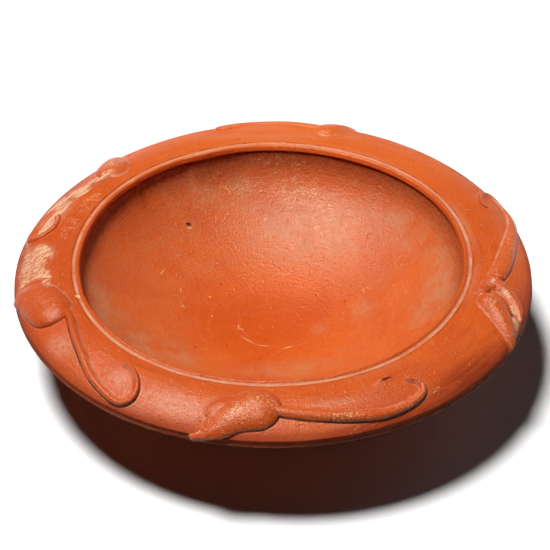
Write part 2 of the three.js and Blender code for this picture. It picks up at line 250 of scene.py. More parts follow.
# Painted glints over the bowl's highlight, and pale flecks along the flange by the groove.
GLINT_AND_FLECK_MARKS = (
    (178, 65, 14, 5, 0, 1.0), (170, 58, 16, 9, 0, 1.0), (158, 50, 16, 12, 0, 0.7),
    (192, 60.5, 14, 5, 0, 0.9), (207, 60, 10, 4, 0, 0.8), (243, 73.5, 12, 3.4, 0, 2.2),
    (257, 74.3, 10, 3.4, 0, 2.0), (284, 74.5, 8, 3, 0, 1.2), (175, 45, 20, 14, 0, 0.4),
)
# Burnt streaks along the rim, also painted shade where the flange's outer part turns down and on its outline.
BURNT_AND_SHADE_MARKS = (
    (47, 88, 38, 7, 0, 1.0), (20, 89.5, 30, 3.5, 0, 0.9), (330, 90, 26, 3.5, 0, 0.8),
    (352, 89.5, 24, 3, 0, 0.7), (75, 88, 20, 5, 0, 0.6), (285, 88.5, 14, 3, 0, 0.6),
    (268, 88.5, 16, 3, 0, 0.9), (252, 88, 16, 3.5, 0, 1.1), (236, 88, 16, 3.5, 0, 1.1),
    (220, 88, 16, 3.5, 0, 1.0), (204, 88, 16, 3, 0, 0.8), (150, 88, 24, 3, 0, 0.6),
    (128, 88, 20, 3, 0, 0.6),
)
HALO_MARKS = (
    (105, 72, 40, 5, 0, 1.0), (78, 71.5, 24, 4, 0, 0.8), (30, 71.5, 26, 3, 0, 0.5),
    (150, 72, 34, 4, 0, 0.6),
)
# Shining places on the strokes, given painted glints and painted sheen and a glossier finish.
SHINE_MARKS = (
    (356, 79, 7, 4, 0, 0.8), (351.5, 82.8, 9, 4, 35, 1.0), (0.5, 80, 4, 4, 0, 0.6),
    (289.5, 83.5, 8, 3, 0, 1.0), (290, 79.5, 4, 3, 0, 0.8), (226.5, 81, 7, 4, 0, 1.0),
    (71, 79.5, 5, 2, 35, 0.6), (66.5, 84.5, 5, 1.6, 40, 0.3), (76, 81.5, 5, 2.5, 45, 0.8),
    (78.7, 77, 4, 2.6, 0, 1.2), (16, 86, 11, 2.2, 0, 1.0), (7.3, 80.8, 6, 2, 0, 0.8),
    (30, 87, 8, 3, 0, 0.7), (96, 83.5, 12, 2, 12, 0.8), (312, 82, 8, 3, 30, 0.5), (325, 85, 8, 3, 0, 0.8),
    (187, 84, 10, 3, 0, 0.5),
)
STROKE_CREAM_MARKS = (
    (280.5, 79.5, 7, 4, 0, 0.95), (285.8, 75.3, 4, 3, 0, 0.6), (78.6, 77.3, 4, 2.4, 20, 0.9),
    (76, 82.4, 5, 1.8, 50, 1.05), (72.3, 86.2, 4.5, 1.8, 38, 1.1), (69, 88.5, 5, 1.8, 22, 1.3),
    (344.5, 90, 3, 1.5, 0, 0.8), (232, 78.5, 8, 3, 0, 1.2), (240, 79.8, 9, 4, 0, 1.25),
    (247, 82.5, 10, 5, 0, 1.05),
)
PIT_MARKS = (
    (216, 52.5, 1.5, 0.8, -36, 1.3), (223.8, 26.9, 0.5, 0.5, 0, 0.7), (109, 27.2, 0.5, 0.5, 0, 0.7),
    (133, 21.2, 0.4, 0.4, 0, 0.7), (304, 32.6, 0.6, 0.4, 0, 0.7), (311, 21.5, 0.5, 0.4, 0, 0.7),
    (347, 22.6, 0.5, 0.5, 0, 0.7), (29.3, 76.2, 3.4, 0.8, 4, 1.3),
)
SCRATCH_MARKS = (
    (244.3, 44.4, 2.8, 0.4, 0, 0.55), (249, 35.6, 1.8, 0.5, 25, 0.45), (261.5, 32.6, 1.6, 0.6, 40, 0.45),
    (183.5, 48.5, 1.8, 0.6, 35, 0.5), (241.8, 25.9, 0.6, 0.5, 0, 0.9), (264.5, 21.9, 0.6, 0.5, 0, 0.8),
    (287, 12, 2.0, 0.4, 60, 0.55), (281, 12.6, 2.4, 0.4, -15, 0.5), (318, 13.4, 4.5, 0.45, 0, 0.6),
    (345, 13.6, 4, 0.45, 5, 0.5), (20, 15.2, 3, 0.6, 0, 0.55), (216.5, 51.4, 1.3, 0.5, -36, 0.8),
)
# Shares of a mark, in from its edge, over which it fades in: for soft marks and for sharper ones.
SOFT_FADE, SHARP_FADE = 0.9, 0.45
# Marks on the body and how they fade, by the name of the value that its points carry.
BODY_MARKS = {
    "silt": (SILT_MARKS, SOFT_FADE), "bloom_and_sheen": (BLOOM_AND_SHEEN_MARKS, SOFT_FADE), "cream": (CREAM_MARKS, SHARP_FADE),
    "glints_and_flecks": (GLINT_AND_FLECK_MARKS, SOFT_FADE), "burnt_and_shade": (BURNT_AND_SHADE_MARKS, SOFT_FADE), "halo": (HALO_MARKS, SOFT_FADE),
}

# Bands across the body, by the run from the groove in millimetres: where a band is 0 and where it is full.
GROOVE_BANDS = {
    "bowl": (-3, -5), "hollow": (-55, -75), "slope": (-60, -45), "bead_shade_low": (-16, -6),
    "bead_shade_high": (-3.5, -5), "lime_in": (-1, -0.4), "lime_out": (0.8, 0.3), "halo_in": (0, 0.6),
    "halo_out": (4.2, 0.8),
}
# The same by the run from the lip's upper edge. The shade bands and the burnt band are painted shade.
LIP_BANDS = {
    "lip_shade": (-8, 0), "shade_high": (-1.4, 0.4), "shade_low": (2.4, 1.8), "burnt_and_shade": (-5.5, -2.5),
    "dull": (-8, 0), "matt": (-14, -4),
}
# Lines in millimetres: the painted shade along the crease past the groove, the rubbed edge past the lip's
# upper edge, each with its place and half width, and the painted shade along a stroke's crisp edge.
CREASE_SHADE_PLACE, CREASE_SHADE_HALF = 1, 0.3
RUBBED_PLACE, RUBBED_HALF = 2.3, 0.8
EDGE_SHADE_HALF = 0.45
# Lime along a stroke on its soft side and on its crisp side, in millimetres: the line's shift out from the
# edge, and its half width.
LIME_SHIFTS = (-0.3, 0.6)
LIME_HALVES = (0.6, 0.4)
# Height on the foot ring below which it is rubbed, and the depth of each finish's bumps, in millimetres.
FOOT_RUB_HEIGHT = 2.2
BODY_RELIEF, FOOT_RELIEF, STROKE_RELIEF = 0.2, 0.2, 0.24
# Height in millimetres over which the pale floor turns to the plain white sweep, and how far out the sweep
# goes, in floor radii.
SWEEP_BLEND, SWEEP_REACH = 50, 1.2
# Floor's tone in the light that it sends back, and as it is seen.
FLOOR_TONE, SEEN_TONE = (0.12, 0.12, 0.12, 1), (1.1, 1.1, 1.1, 1)
# Width of the picture, and how far the frame is moved right and up, in pixels.
PICTURE_WIDTH, PICTURE_SHIFT = 550, (1.8, -17.9)
# Noise in the slip and in what lies on it: grains to the metre, detail and roughness.
NOISES = {
    "clouds": (38, 4, 0.6), "smears": (260, 3, 0.6), "lumps": (850, 3, 0.6), "knobs": (480, 2, 0.5),
    "patches": (300, 3, 0.6), "grit": (900, 4, 0.75), "dust": (140, 5, 0.7), "groove": (130, 3, 0.6),
    "hairlines": (80, 2, 0.5), "hairline_gaps": (170, 2, 0.5), "sparkle": (330, 3, 0.6), "painted_sheen": (700, 4, 0.7),
    "ragged": (900, 3, 0.6), "broken": (150, 3, 0.6),
}
# Fineness of grains, turned marks and worn streaks on each finish, in grains to the metre.
BODY_GRAIN, FOOT_GRAIN, STROKE_GRAIN = 2300, 1700, 2000
BROAD_MARKS, FINE_MARKS, FOOT_MARKS = 900, 2000, 700
WORN_GRAIN, FOOT_WORN_GRAIN = 1500, 500
# Turned marks' slow run round the dish, in grains to the metre, and the share of a rise that counts as
# radius.
TURNED_SLOW, TURNED_LIFT = 60, 0.6
# Turn of worn streaks in degrees, and how much longer than wide they are.
RUB_TURN, RUB_STRETCH = 40, 9
# Strength of pale flecks, most as painted glints, and of painted sheen on the shining places of leaves
# and of tendrils.
LEAF_FLECKS_AND_GLINTS, LEAF_SHEEN = 1.7, 0.25
TENDRIL_FLECKS_AND_GLINTS, TENDRIL_SHEEN = 1.4, 0.15
# Strength of the slip's shine.
SHINE_LEVEL = 0.52


def linear(red, green, blue):
    """A colour written as eight-bit display values, turned to the linear values that shaders take."""
    shares = np.array((red, green, blue)) / 255
    values = np.where(shares > 0.04045, ((shares + 0.055) / 1.055) ** 2.4, shares / 12.92)
    return (*values.tolist(), 1.0)


def length(name, description, millimetres):
    """A length that a user may change, with its default in millimetres."""
    return bpy.props.FloatProperty(
        name=name, description=description, default=millimetres * MM, min=0, precision=5, unit="LENGTH"
    )


def number(name, description, default):
    """A plain number that a user may change."""
    return bpy.props.FloatProperty(name=name, description=description, default=default, precision=3)


def opening(name, description, degrees):
    """An angle that a user may change, with its default in degrees."""
    return bpy.props.FloatProperty(
        name=name, description=description, default=math.radians(degrees), subtype="ANGLE"
    )


def pointing(name, description, *way):
    """A direction that a user may change."""
    return bpy.props.FloatVectorProperty(name=name, description=description, default=way, subtype="DIRECTION")


def colour(name, description, *display):
    """A colour that a user may change, with its default as eight-bit display values."""
    return bpy.props.FloatVectorProperty(
        name=name, description=description, default=linear(*display), size=4, min=0, max=1, subtype="COLOR"
    )


class DishSizes(bpy.types.PropertyGroup):
    """Sizes of the thrown dish and its trailed slip."""

    mouth_radius: length("Mouth radius", "Inside the bead that edges the bowl", 66.9)
    bowl_depth: length("Bowl depth", "From the flange's top to the floor", 30)
    bowl_fullness: number("Bowl fullness", "Power of the bowl's curve: lower is fuller at the wall", 0.65)
    wall_thickness: length("Wall thickness", "Clay at the bowl's mouth", 5)
    floor_thickness: length("Floor thickness", "Clay at the middle of the bowl", 5.5)
    mouth_shift: length("Mouth shift", "How far the bowl and bead lie left of the rim's middle", 0.5)
    bead_width: length("Bead width", "Bead round the mouth, side to side", 1.7)
    bead_rise: length("Bead rise", "Bead above the flange's top", 0.5)
    bead_depth: length("Bead depth", "Bead below the flange's top, inside the mouth", 1.45)
    bead_overhang: length("Bead overhang", "Bead beyond the bowl's wall", 0.9)
    bead_tuck: length("Bead tuck", "How far the bead's root reaches into the wall", 0.1)
    bead_round: length("Bead round", "Rounding of the bead's lower edge", 0.25)
    groove_space: length("Groove space", "From the mouth's edge to where the flange starts", 2.7)
    groove_width: length("Groove width", "Turned line outside the bead", 2)
    groove_depth: length("Groove depth", "Turned line outside the bead", 0.3)
    flange_level: length("Flange level", "Level strip where the flange starts", 4.4)
    flange_drop: length("Flange drop", "From the flange's top to the lip's upper edge", 6.4)
    flange_thickness: length("Flange thickness", "Clay under the flange's top", 4.6)
    back_edge: number("Back edge", "Power of the flange's turn at the back: 2 is round, 1 is sharp", 2)
    front_edge: number("Front edge", "Power of the flange's turn at the front: 2 is round, 1 is sharp", 1.15)
    lip_height: length("Lip height", "Upright edge of the rim", 2.5)
    lip_width: length("Lip width", "Underside of the rim's edge", 3)
    lip_hollow: length("Lip hollow", "How far the upright edge is pressed in", 0.12)
    lip_roll: length("Lip roll", "How far the rim's lower edge stands out", 0.2)
    lip_roll_height: length("Lip roll height", "Rolled lower edge of the rim, from its foot up", 0.9)
    lip_turn: length("Lip turn", "How far in the rolled edge has turned level", 0.8)
    lip_lift: length("Lip lift", "How far the rim's underside rises inwards", 1.2)
    flange_fillet: length("Flange fillet", "Where the wall turns out under the flange", 3)
    foot_width: length("Foot width", "Clay of the foot ring where it stands", 5.5)
    foot_flare: length("Foot flare", "How much wider the foot ring is at its top", 1)
    foot_rounding: length("Foot rounding", "Softened lower corners of the foot ring", 1.2)
    foot_bite: length("Foot bite", "How far the foot ring's inner top reaches into the body", 0.3)
    skirt_width: length("Skirt width", "Film of slip round a stroke", 0.8)
    film_rise: length("Film rise", "Film of slip above the flange, at a stroke's edge", 0.04)
    film_sink: length("Film sink", "How far the film sinks from there to its own edge", 0.06)
    stroke_root: length("Stroke root", "How far a stroke reaches into the flange", 0.6)

    rim_radius = property(lambda self: (BODY_HIGH.x - BODY_LOW.x) / 2)
    flange_top = property(lambda self: BODY_HIGH.z - self.bead_rise)
    base_height = property(lambda self: BODY_LOW.z)
    bowl_radius = property(lambda self: self.mouth_radius + self.bead_overhang)
    floor_height = property(lambda self: self.flange_top - self.bowl_depth)
    groove_radius = property(lambda self: self.mouth_radius + self.groove_space)
    crest_radius = property(lambda self: self.groove_radius + self.flange_level)
    lip_top = property(lambda self: self.flange_top - self.flange_drop)
    lip_foot = property(lambda self: self.lip_top - self.lip_height)
    under_height = property(lambda self: self.flange_top - self.flange_thickness)
    stroke_radius = property(lambda self: (self.groove_radius + self.rim_radius) / 2)


class DishSlip(bpy.types.PropertyGroup):
    """Colours of the fired slip and of what lies on it."""

    slip: colour("Slip", "Orange-red slip in its thin places", 233, 101, 26)
    # Deep slip, also used as painted shade at the left and towards the lip.
    deep_slip_and_shade: colour("Deep slip", "Slip where it lies thick", 213, 80, 16)
    # Lighter slip painted at the back, as painted light.
    painted_lit_slip: colour("Thin slip", "Slip where it lies thinnest, at the back", 255, 122, 44)
    # Pale grains in the slip, also used as painted glints.
    fleck_and_glint: colour("Fleck", "Pale grains in the slip", 255, 202, 148)
    # Pinkish bloom of rubbed skin, also used as painted sheen.
    bloom_and_sheen: colour("Bloom", "Pinkish skin on rubbed crests", 228, 146, 108)
    lime: colour("Lime", "Pale line left along creases", 228, 160, 122)
    cream: colour("Cream", "Lime left where the slip has gone", 252, 194, 150)
    silt: colour("Silt", "Greyish dust in the hollow", 210, 134, 92)
    # Painted shade on the wall under the bead, in brown.
    bead_shade: colour("Grime", "Brown dirt on the wall under the bead", 112, 60, 34)
    # Dark burnt streaks, also used as painted shade towards the rim.
    burnt_and_shade: colour("Burnt slip", "Dark streaks along the rim", 160, 46, 10)
    # Dark tone of pores and pits, also used as painted shade in creases, on the lip and at strokes' feet.
    soot_and_shade: colour("Soot", "Dark inside of pits and creases", 84, 36, 16)
    sheen: colour("Sheen", "Tint of the slip's shine", 255, 247, 228)


class DishStage(bpy.types.PropertyGroup):
    """Floor, light and camera."""

    floor_radius: length("Floor radius", "Pale floor, out to where it sweeps up", 2600)
    wall_height: length("Wall height", "Top of the sweep behind the dish", 350)
    key_strength: number("Key strength", "Strength of the studio light", 3.3)
    key_spread: opening("Key spread", "Apparent width of the studio light", 14)
    key_direction: pointing("Key direction", "Towards the studio light", -0.27, 0.045, 0.96)
    side_strength: number("Side strength", "Strength of the faint light from the side", 0.11)
    side_spread: opening("Side spread", "Apparent width of the side light", 36)
    side_direction: pointing("Side direction", "Towards the side light", 0.68, 0.6, 0.42)
    fill_strength: number("Fill strength", "Strength of the plain surrounding light", 0.006)
    camera_distance: length("Camera distance", "From the middle of the dish's mouth", 900)
    camera_rise: opening("Camera rise", "Angle of view above level", 37.32)
    camera_lens: number("Camera lens", "Focal length in millimetres on a 36 mm frame", 168.4)
    frame_shift: bpy.props.FloatVectorProperty(
        name="Frame shift", description="Offset of the frame, in widths", size=2,
        default=[pixels / PICTURE_WIDTH for pixels in PICTURE_SHIFT],
    )


def polar(radius, angle, height):
    """Points at a radius, at an angle round from the front towards the right, and at a height."""
    spread = np.broadcast_arrays(radius * np.sin(angle), -radius * np.cos(angle), height)
    return np.stack(spread, -1)


def bell(angle, middle, spread):
    """Bell curve round the dish: e to the minus square of the turn from the middle over the spread, in
    degrees."""
    apart = (np.degrees(angle) - middle + 180) % 360 - 180
    return np.exp(-((apart / spread) ** 2))


def bells(angle, rows):
    """Sum of bell curves round the dish, from rows of angle and spread in degrees and size in
    millimetres."""
    return sum(bell(angle, middle, spread) * size * MM for middle, spread, size in rows)


def waves(angle, rows):
    """Sum of sines round the dish, from rows of millimetres, waves in a turn and start in radians."""
    return sum(size * MM * np.sin(count * angle + start) for size, count, start in rows)


def ease(value):
    """Smooth step from 0 to 1: three squares less two cubes."""
    share = np.clip(value, 0, 1)
    return share * share * (3 - 2 * share)


def hill(value, power):
    """Hill from 1 at nothing to 0 at one: one less the square, to a power."""
    return np.clip(1 - value**2, 0, None) ** power


def unit(ways):
    """Directions brought to length one."""
    return ways / np.linalg.norm(ways, axis=-1, keepdims=True)


def rays(turn):
    """Flat directions at a turn: its cosine and its sine."""
    return np.stack([np.cos(turn), np.sin(turn)], -1)


def quarter_turned(ways):
    """Flat directions turned anticlockwise by a right angle."""
    return np.stack([-ways[..., 1], ways[..., 0]], -1)


def bend(start, corner, end, count):
    """Quadratic curve from start to end, drawn towards the corner; leaves the start point out."""
    share = np.linspace(0, 1, count + 1)[1:, None]
    start, corner, end = (np.array(point) for point in (start, corner, end))
    return (1 - share) ** 2 * start + 2 * share * (1 - share) * corner + share**2 * end


def run_along(points):
    """Run along a line, from its start to each of its points."""
    return np.r_[0, np.cumsum(np.hypot(*np.diff(points, axis=0).T))]


def along_line(points, stations, at):
    """Points of a line at some stations, by the stations of the points that it has."""
    return np.stack([np.interp(at, stations, column) for column in points.T], -1)


def spaced(points, count):
    """The same line, with points set evenly along its length."""
    run = run_along(points)
    return along_line(points, run, np.linspace(0, run[-1], count))


def smooth_route(points, count):
    """Smooth line through the points (Catmull-Rom: each span is a cubic whose end slopes are half the chord
    of the neighbours), with points set evenly along it."""
    points = np.array(points, float)
    last = len(points) - 1
    position = np.linspace(0, last, SPAN_FINE * last + 1)
    index = np.minimum(position.astype(int), last - 1)
    share = (position - index)[:, None]
    before, start, end, after = (points[np.clip(index + step, 0, last)] for step in (-1, 0, 1, 2))
    leave = (end - before) / 2
    arrive = (after - start) / 2
    cubic = (2 * start - 2 * end + leave + arrive) * share**3
    square = (3 * end - 3 * start - 2 * leave - arrive) * share**2
    return spaced(cubic + square + leave * share + start, count)


def bowl_line(sizes, count):
    """Bowl's inner section: the radius goes as the sine of an angle, and the height as one less a power of
    its squared cosine. Points are even along it."""
    angle = np.linspace(0, math.pi / 2, BOWL_FINE)
    rise = 1 - (np.cos(angle) ** 2) ** sizes.bowl_fullness
    height = sizes.floor_height + (sizes.bowl_depth - sizes.bead_depth) * rise
    return spaced(np.stack([sizes.bowl_radius * np.sin(angle), height], -1), count)


def flange_line(sizes):
    """Flange's upper section from the groove out: a level strip, then a curve whose share outwards squared
    and share upwards to the back edge's power add to one, down to the lip's upper edge."""
    out = np.sin(np.linspace(0, math.pi / 2, FLANGE_FINE))
    radius = sizes.crest_radius + (sizes.rim_radius - sizes.crest_radius) * out
    height = sizes.lip_top + sizes.flange_drop * hill(out, 1 / sizes.back_edge)
    curve = np.stack([radius, height], -1)
    return np.concatenate([[[sizes.groove_radius, sizes.flange_top]], curve])


def flange_width(sizes):
    """Length of the flange's upper section, from the groove to the lip's upper edge."""
    return run_along(flange_line(sizes))[-1]


def flange_share(sizes, radius):
    """Share of the way out from the flange's crest to the rim."""
    return np.clip((radius - sizes.crest_radius) / (sizes.rim_radius - sizes.crest_radius), 0, 1)


def out_of_true(sizes, points):
    """Points moved by the hand's unevenness: bell curves round the flange sink and swell it, from nothing
    at its crest to their full size at the rim."""
    radius = np.hypot(points[..., 0], points[..., 1])
    angle = np.arctan2(points[..., 0], -points[..., 1])
    share = flange_share(sizes, radius) ** SAG_POWER
    swell = share * bells(angle, RIM_SWELLS)
    return polar(radius + swell, angle, points[..., 2] - share * bells(angle, FLANGE_SAGS))


def front_fall(sizes, radius, angle):
    """How much lower the flange lies towards the front, where its turn is sharper: the difference of the
    two powers' curves, as a bell curve round the dish."""
    out = flange_share(sizes, radius)
    gap = hill(out, 1 / sizes.back_edge) - hill(out, 1 / sizes.front_edge)
    return sizes.flange_drop * gap * bell(angle, FALL_ANGLE, FALL_SPREAD)


def flange_place(sizes, angle, across, lift):
    """Points on the flange, by the angle round it, the run across it from the groove, and the lift off it
    square to its section. Past the lip's upper edge the run goes straight down, and it ends at the lip's
    foot."""
    line = np.concatenate([flange_line(sizes), [[sizes.rim_radius, sizes.lip_foot]]])
    run = run_along(line)
    across = np.minimum(across, run[-1])
    low, here, high = (along_line(line, run, across + shift * SLOPE_RUN * MM) for shift in (-1, 0, 1))
    place = here + quarter_turned(unit(high - low)) * lift[..., None]
    height = place[..., 1] - front_fall(sizes, here[..., 0], angle)
    return out_of_true(sizes, polar(place[..., 0], angle, height))


def bead_line(sizes):
    """Bead's section: a smooth line from inside the wall, under the mouth's edge and up to the bead's
    top."""
    mouth, top, half = sizes.mouth_radius, sizes.flange_top, sizes.bead_width / 2
    foot = top - sizes.bead_depth
    return smooth_route([
        (sizes.bowl_radius + sizes.bead_tuck, foot + sizes.bead_tuck / 2),
        (mouth + 0.4 * half, foot),
        (mouth, foot + sizes.bead_round),
        (mouth + 0.1 * half, top - 0.35 * sizes.bead_depth),
        (mouth + 0.45 * half, top + 0.6 * sizes.bead_rise),
        (mouth + half, top + sizes.bead_rise),
    ], BEAD_POINTS)


def crown_line(sizes):
    """Section from the bead's top to the flange's crest: the bead's outer half as a hill, then the groove
    as a hollow of the same kind."""
    half = sizes.bead_width / 2
    bead_top = sizes.mouth_radius + half
    radius = np.linspace(bead_top, sizes.crest_radius, CROWN_POINTS)[1:]
    hump = hill((radius - bead_top) / half, 1.5)
    dip = hill((radius - sizes.groove_radius) / (sizes.groove_width / 2) + GROOVE_LEAN, 2)
    height = sizes.flange_top + sizes.bead_rise * hump - sizes.groove_depth * dip
    return np.stack([radius, height], -1)


def lip_line(sizes, start):
    """Lip's section: a smooth line down the hollowed edge, round the rolled lower edge and in under the
    rim."""
    rim, low, roll = sizes.rim_radius, sizes.lip_foot, sizes.lip_roll
    return smooth_route([
        start,
        (rim - sizes.lip_hollow, low + 0.6 * sizes.lip_height),
        (rim + 0.2 * roll, low + sizes.lip_roll_height),
        (rim + roll, low + sizes.lip_roll_height / 2),
        (rim + 0.4 * roll, low + 0.2 * roll),
        (rim - sizes.lip_turn, low),
        (rim - 0.7 * sizes.lip_width, low + sizes.lip_lift / 6),
        (rim - sizes.lip_width, low + sizes.lip_lift),
    ], LIP_POINTS)[1:]


def wall_line(sizes):
    """Outer section from the base up to the fillet: the bowl's section, moved square to itself by the
    clay's thickness."""
    inner = bowl_line(sizes, WALL_FINE)
    share = inner[:, :1] / sizes.bowl_radius
    thick = sizes.floor_thickness + (sizes.wall_thickness - sizes.floor_thickness) * share
    outer = inner - quarter_turned(unit(np.gradient(inner, axis=0))) * thick
    return outer[(outer[:, 1] < sizes.under_height - sizes.flange_fillet) & (outer[:, 0] > 0)]


def under_line(sizes, start, end):
    """Section under the flange: one quadratic curve in from the lip, and one down the fillet to the
    wall."""
    level, fillet = sizes.under_height, sizes.flange_fillet
    fillet_top = (end[0] + 2 * fillet, level)
    return np.concatenate([
        bend(start, (start[0], level - sizes.flange_thickness / 5), fillet_top, UNDER_POINTS),
        bend(fillet_top, (end[0] + fillet / 2, level), end, FILLET_POINTS),
    ])


def body_section(sizes):
    """Section of the body from the middle of the floor, up the bowl, over bead, groove and flange, round
    the lip and back under to the middle of the base, with the number of the part that each point is on."""
    flange = spaced(flange_line(sizes)[1:], FLANGE_POINTS)[1:]
    lip = lip_line(sizes, flange[-1])
    wall = wall_line(sizes)
    lines = (
        bowl_line(sizes, BOWL_POINTS)[1:], bead_line(sizes), crown_line(sizes), flange, lip,
        under_line(sizes, lip[-1], wall[-1]), spaced(wall[::-1], WALL_POINTS)[1:-1],
    )
    part = np.repeat(np.arange(len(lines)), [len(line) for line in lines])
    return np.concatenate(lines), part


def bands(ring):
    """Four-sided faces between rows of point numbers, where each row is a ring."""
    beside = np.roll(ring, -1, axis=1)
    return np.stack([ring[:-1], beside[:-1], beside[1:], ring[1:]], -1).reshape(-1, 4)


def fan(pole, ring):
    """Three-sided faces from a pole to a ring of point numbers."""
    return np.stack([np.full(len(ring), pole), np.roll(ring, -1), ring], -1)


def ring_faces(count, sides):
    """Faces over rings of points between two poles, which are the first and the last point."""
    ring = 1 + np.arange(count * sides).reshape(count, sides)
    last = fan(count * sides + 1, ring[-1])[:, [0, 2, 1]]
    return [bands(ring), fan(0, ring[0]), last]


def hoop_faces(count, sides):
    """Faces over rings of points that close on themselves both ways."""
    ring = np.arange(count * sides).reshape(count, sides)
    return [bands(np.concatenate([ring, ring[:1]]))]


def smooth_mesh(name, points, faces):
    """Smooth mesh of the points and of blocks of faces."""
    mesh = bpy.data.meshes.new(name)
    mesh.from_pydata(points.tolist(), [], [face for block in faces for face in block.tolist()])
    mesh.polygons.foreach_set("use_smooth", np.ones(len(mesh.polygons), bool))
    return mesh


def surface_mesh(name, points, faces, values):
    """Closed mesh with named values at its points. Faces are turned about where the volume they enclose
    comes out negative, so that they face outwards."""
    corners = np.concatenate([block[:, :3] for block in faces])
    first, second, third = (points[corners[:, side]] for side in range(3))
    if np.einsum("ij,ij->", first, np.cross(second, third)) < 0:
        faces = [block[:, ::-1] for block in faces]
    mesh = smooth_mesh(name, points, faces)
    for key, value in values.items():
        field = mesh.attributes.new(key, "FLOAT", "POINT")
        field.data.foreach_set("value", np.asarray(value, np.float32).ravel())
    mesh.update()
    return mesh


def place_piece(mesh, material, node):
    """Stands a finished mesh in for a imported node, riding on the dish's one body."""
    piece = bpy.data.objects.new(mesh.name, mesh)
    bpy.context.scene.collection.objects.link(piece)
    mesh.materials.append(material)
    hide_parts(node)
    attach(piece, "root")


def mark_field(points, marks, fade):
    """The strongest of several ovals at each point: 0 at an oval's edge, and its strength from a share
    inside it that the fade tells."""
    field = np.zeros(points.shape[:-1])
    for angle, radius, half_length, half_width, turn, strength in marks:
        around = math.radians(angle)
        aside = math.radians(angle + turn)
        off = points[..., :2] - np.array([math.sin(around), -math.cos(around)]) * radius * MM
        along = off @ np.array([math.cos(aside), math.sin(aside)]) / (half_length * MM)
        across = off @ np.array([-math.sin(aside), math.cos(aside)]) / (half_width * MM)
        field = np.maximum(field, strength * ease((1 - np.hypot(along, across)) / fade))
    return field


def body_relief(sizes, part, radius, angle):
    """Rise of the turned section: throwing rings in the bowl go as the sine of the radius, lumps on the
    flange are bell curves both ways, and the flange falls towards the front."""
    rings = np.sin(radius / (RING_RUN * MM) + RING_SWAY * np.sin(angle)) * ease(radius / (RING_FULL * MM))
    lumps = 0
    for middle, place, half_length, half_width, up in FLANGE_LUMPS:
        across = np.exp(-(((radius / MM - place) / half_width) ** 2))
        lumps = lumps + bell(angle, middle, math.degrees(half_length / place)) * across * up * MM
    relief = np.where(part == BOWL, RING_RISE * MM * rings, 0)
    relief = relief - np.where(part == FLANGE, front_fall(sizes, radius, angle), 0)
    return relief + np.where((part == CROWN) | (part == FLANGE), lumps, 0)


def mouth_moves(sizes, part, radius, level, angle):
    """How far the mouth is moved in and up: lumps and waves move the bead, most on its middle, the wall's
    top follows the lumps, and both lean in as a bell curve round the dish."""
    off_middle = (radius - sizes.mouth_radius - sizes.bead_width / 2) / sizes.bead_width
    on_bead = np.exp(-(off_middle**2)) * ((part == BEAD) | (part == CROWN))
    on_wall = (part == BOWL) * ease((radius / sizes.bowl_radius - WALL_TOP_SHARE) / (1 - WALL_TOP_SHARE))
    below = np.clip((BODY_HIGH.z - level) / (sizes.bead_rise + sizes.bead_depth), 0, 1) * (part == BEAD)
    lean = (BEAD_LEAN * below + WALL_LEAN * on_wall) * MM * bell(angle, LEAN_ANGLE, LEAN_SPREAD)
    rise = bells(angle, [(middle, spread, up) for middle, spread, up, inward in BEAD_LUMPS])
    push = bells(angle, [(middle, spread, inward) for middle, spread, up, inward in BEAD_LUMPS])
    wobble = waves(angle, BEAD_WAVES)
    return lean + on_bead * (push + wobble) + on_wall * push, on_bead * (rise + wobble)


def body_values(points, section, part):
    """Values at the body's points: the run along the section from the groove and from the lip's upper edge,
    marks and the sides painted lighter at the back and deeper at the left, as painted light and shade, the
    last two on top of the dish only."""
    def at_points(first, rings, last):
        """One value for each point: the first pole, every ring's in turn, and the last pole."""
        return np.r_[first, np.repeat(rings, BODY_SIDES), last]

    run = run_along(section)
    groove = np.where(part == CROWN, section[:, 1], np.inf).argmin()
    lip = (part == LIP).argmax()
    values = {
        name: at_points(run[0] - run[start], run - run[start], run[-1] - run[start])
        for name, start in (("from_groove", groove), ("from_lip", lip))
    }
    above = at_points(1, part <= FLANGE, 0)
    angle = np.arctan2(points[:, 0], -points[:, 1])
    values |= {name: mark_field(points, marks, fade) * above for name, (marks, fade) in BODY_MARKS.items()}
    values["back"] = bell(angle, BACK_ANGLE, BACK_SPREAD) * above
    values["left"] = bell(angle, LEFT_ANGLE, LEFT_SPREAD) * above
    return values


def body_surface(sizes):
    """The body: its section carried round the dish's axis, raised by its relief, moved at the mouth,
    swelled as bell curves where the mouth is out of round, set out of true, and shifted left inside the
    flange."""
    section, part = body_section(sizes)
    on_part = part[:, None]
    angle = np.linspace(0, TURN, BODY_SIDES, endpoint=False)
    radius, level = section[:, :1], section[:, 1:]
    inwards, upwards = mouth_moves(sizes, on_part, radius, level, angle)
    inside = (on_part <= CROWN) * ease((sizes.crest_radius - radius) / sizes.flange_level)
    swell = bells(angle, MOUTH_SWELLS) * inside * np.minimum(radius / sizes.mouth_radius, 1) ** SWELL_POWER
    height = level + body_relief(sizes, on_part, radius, angle) + upwards
    points = out_of_true(sizes, polar(radius + swell - inwards, angle, height))
    points[..., 0] -= sizes.mouth_shift * inside
    floor = (-sizes.mouth_shift, 0, sizes.floor_height)
    base = (0, 0, sizes.base_height)
    points = np.concatenate([[floor], points.reshape(-1, 3), [base]])
    values = body_values(points, section, part)
    return surface_mesh("thrown_body", points, ring_faces(len(section), BODY_SIDES), values)


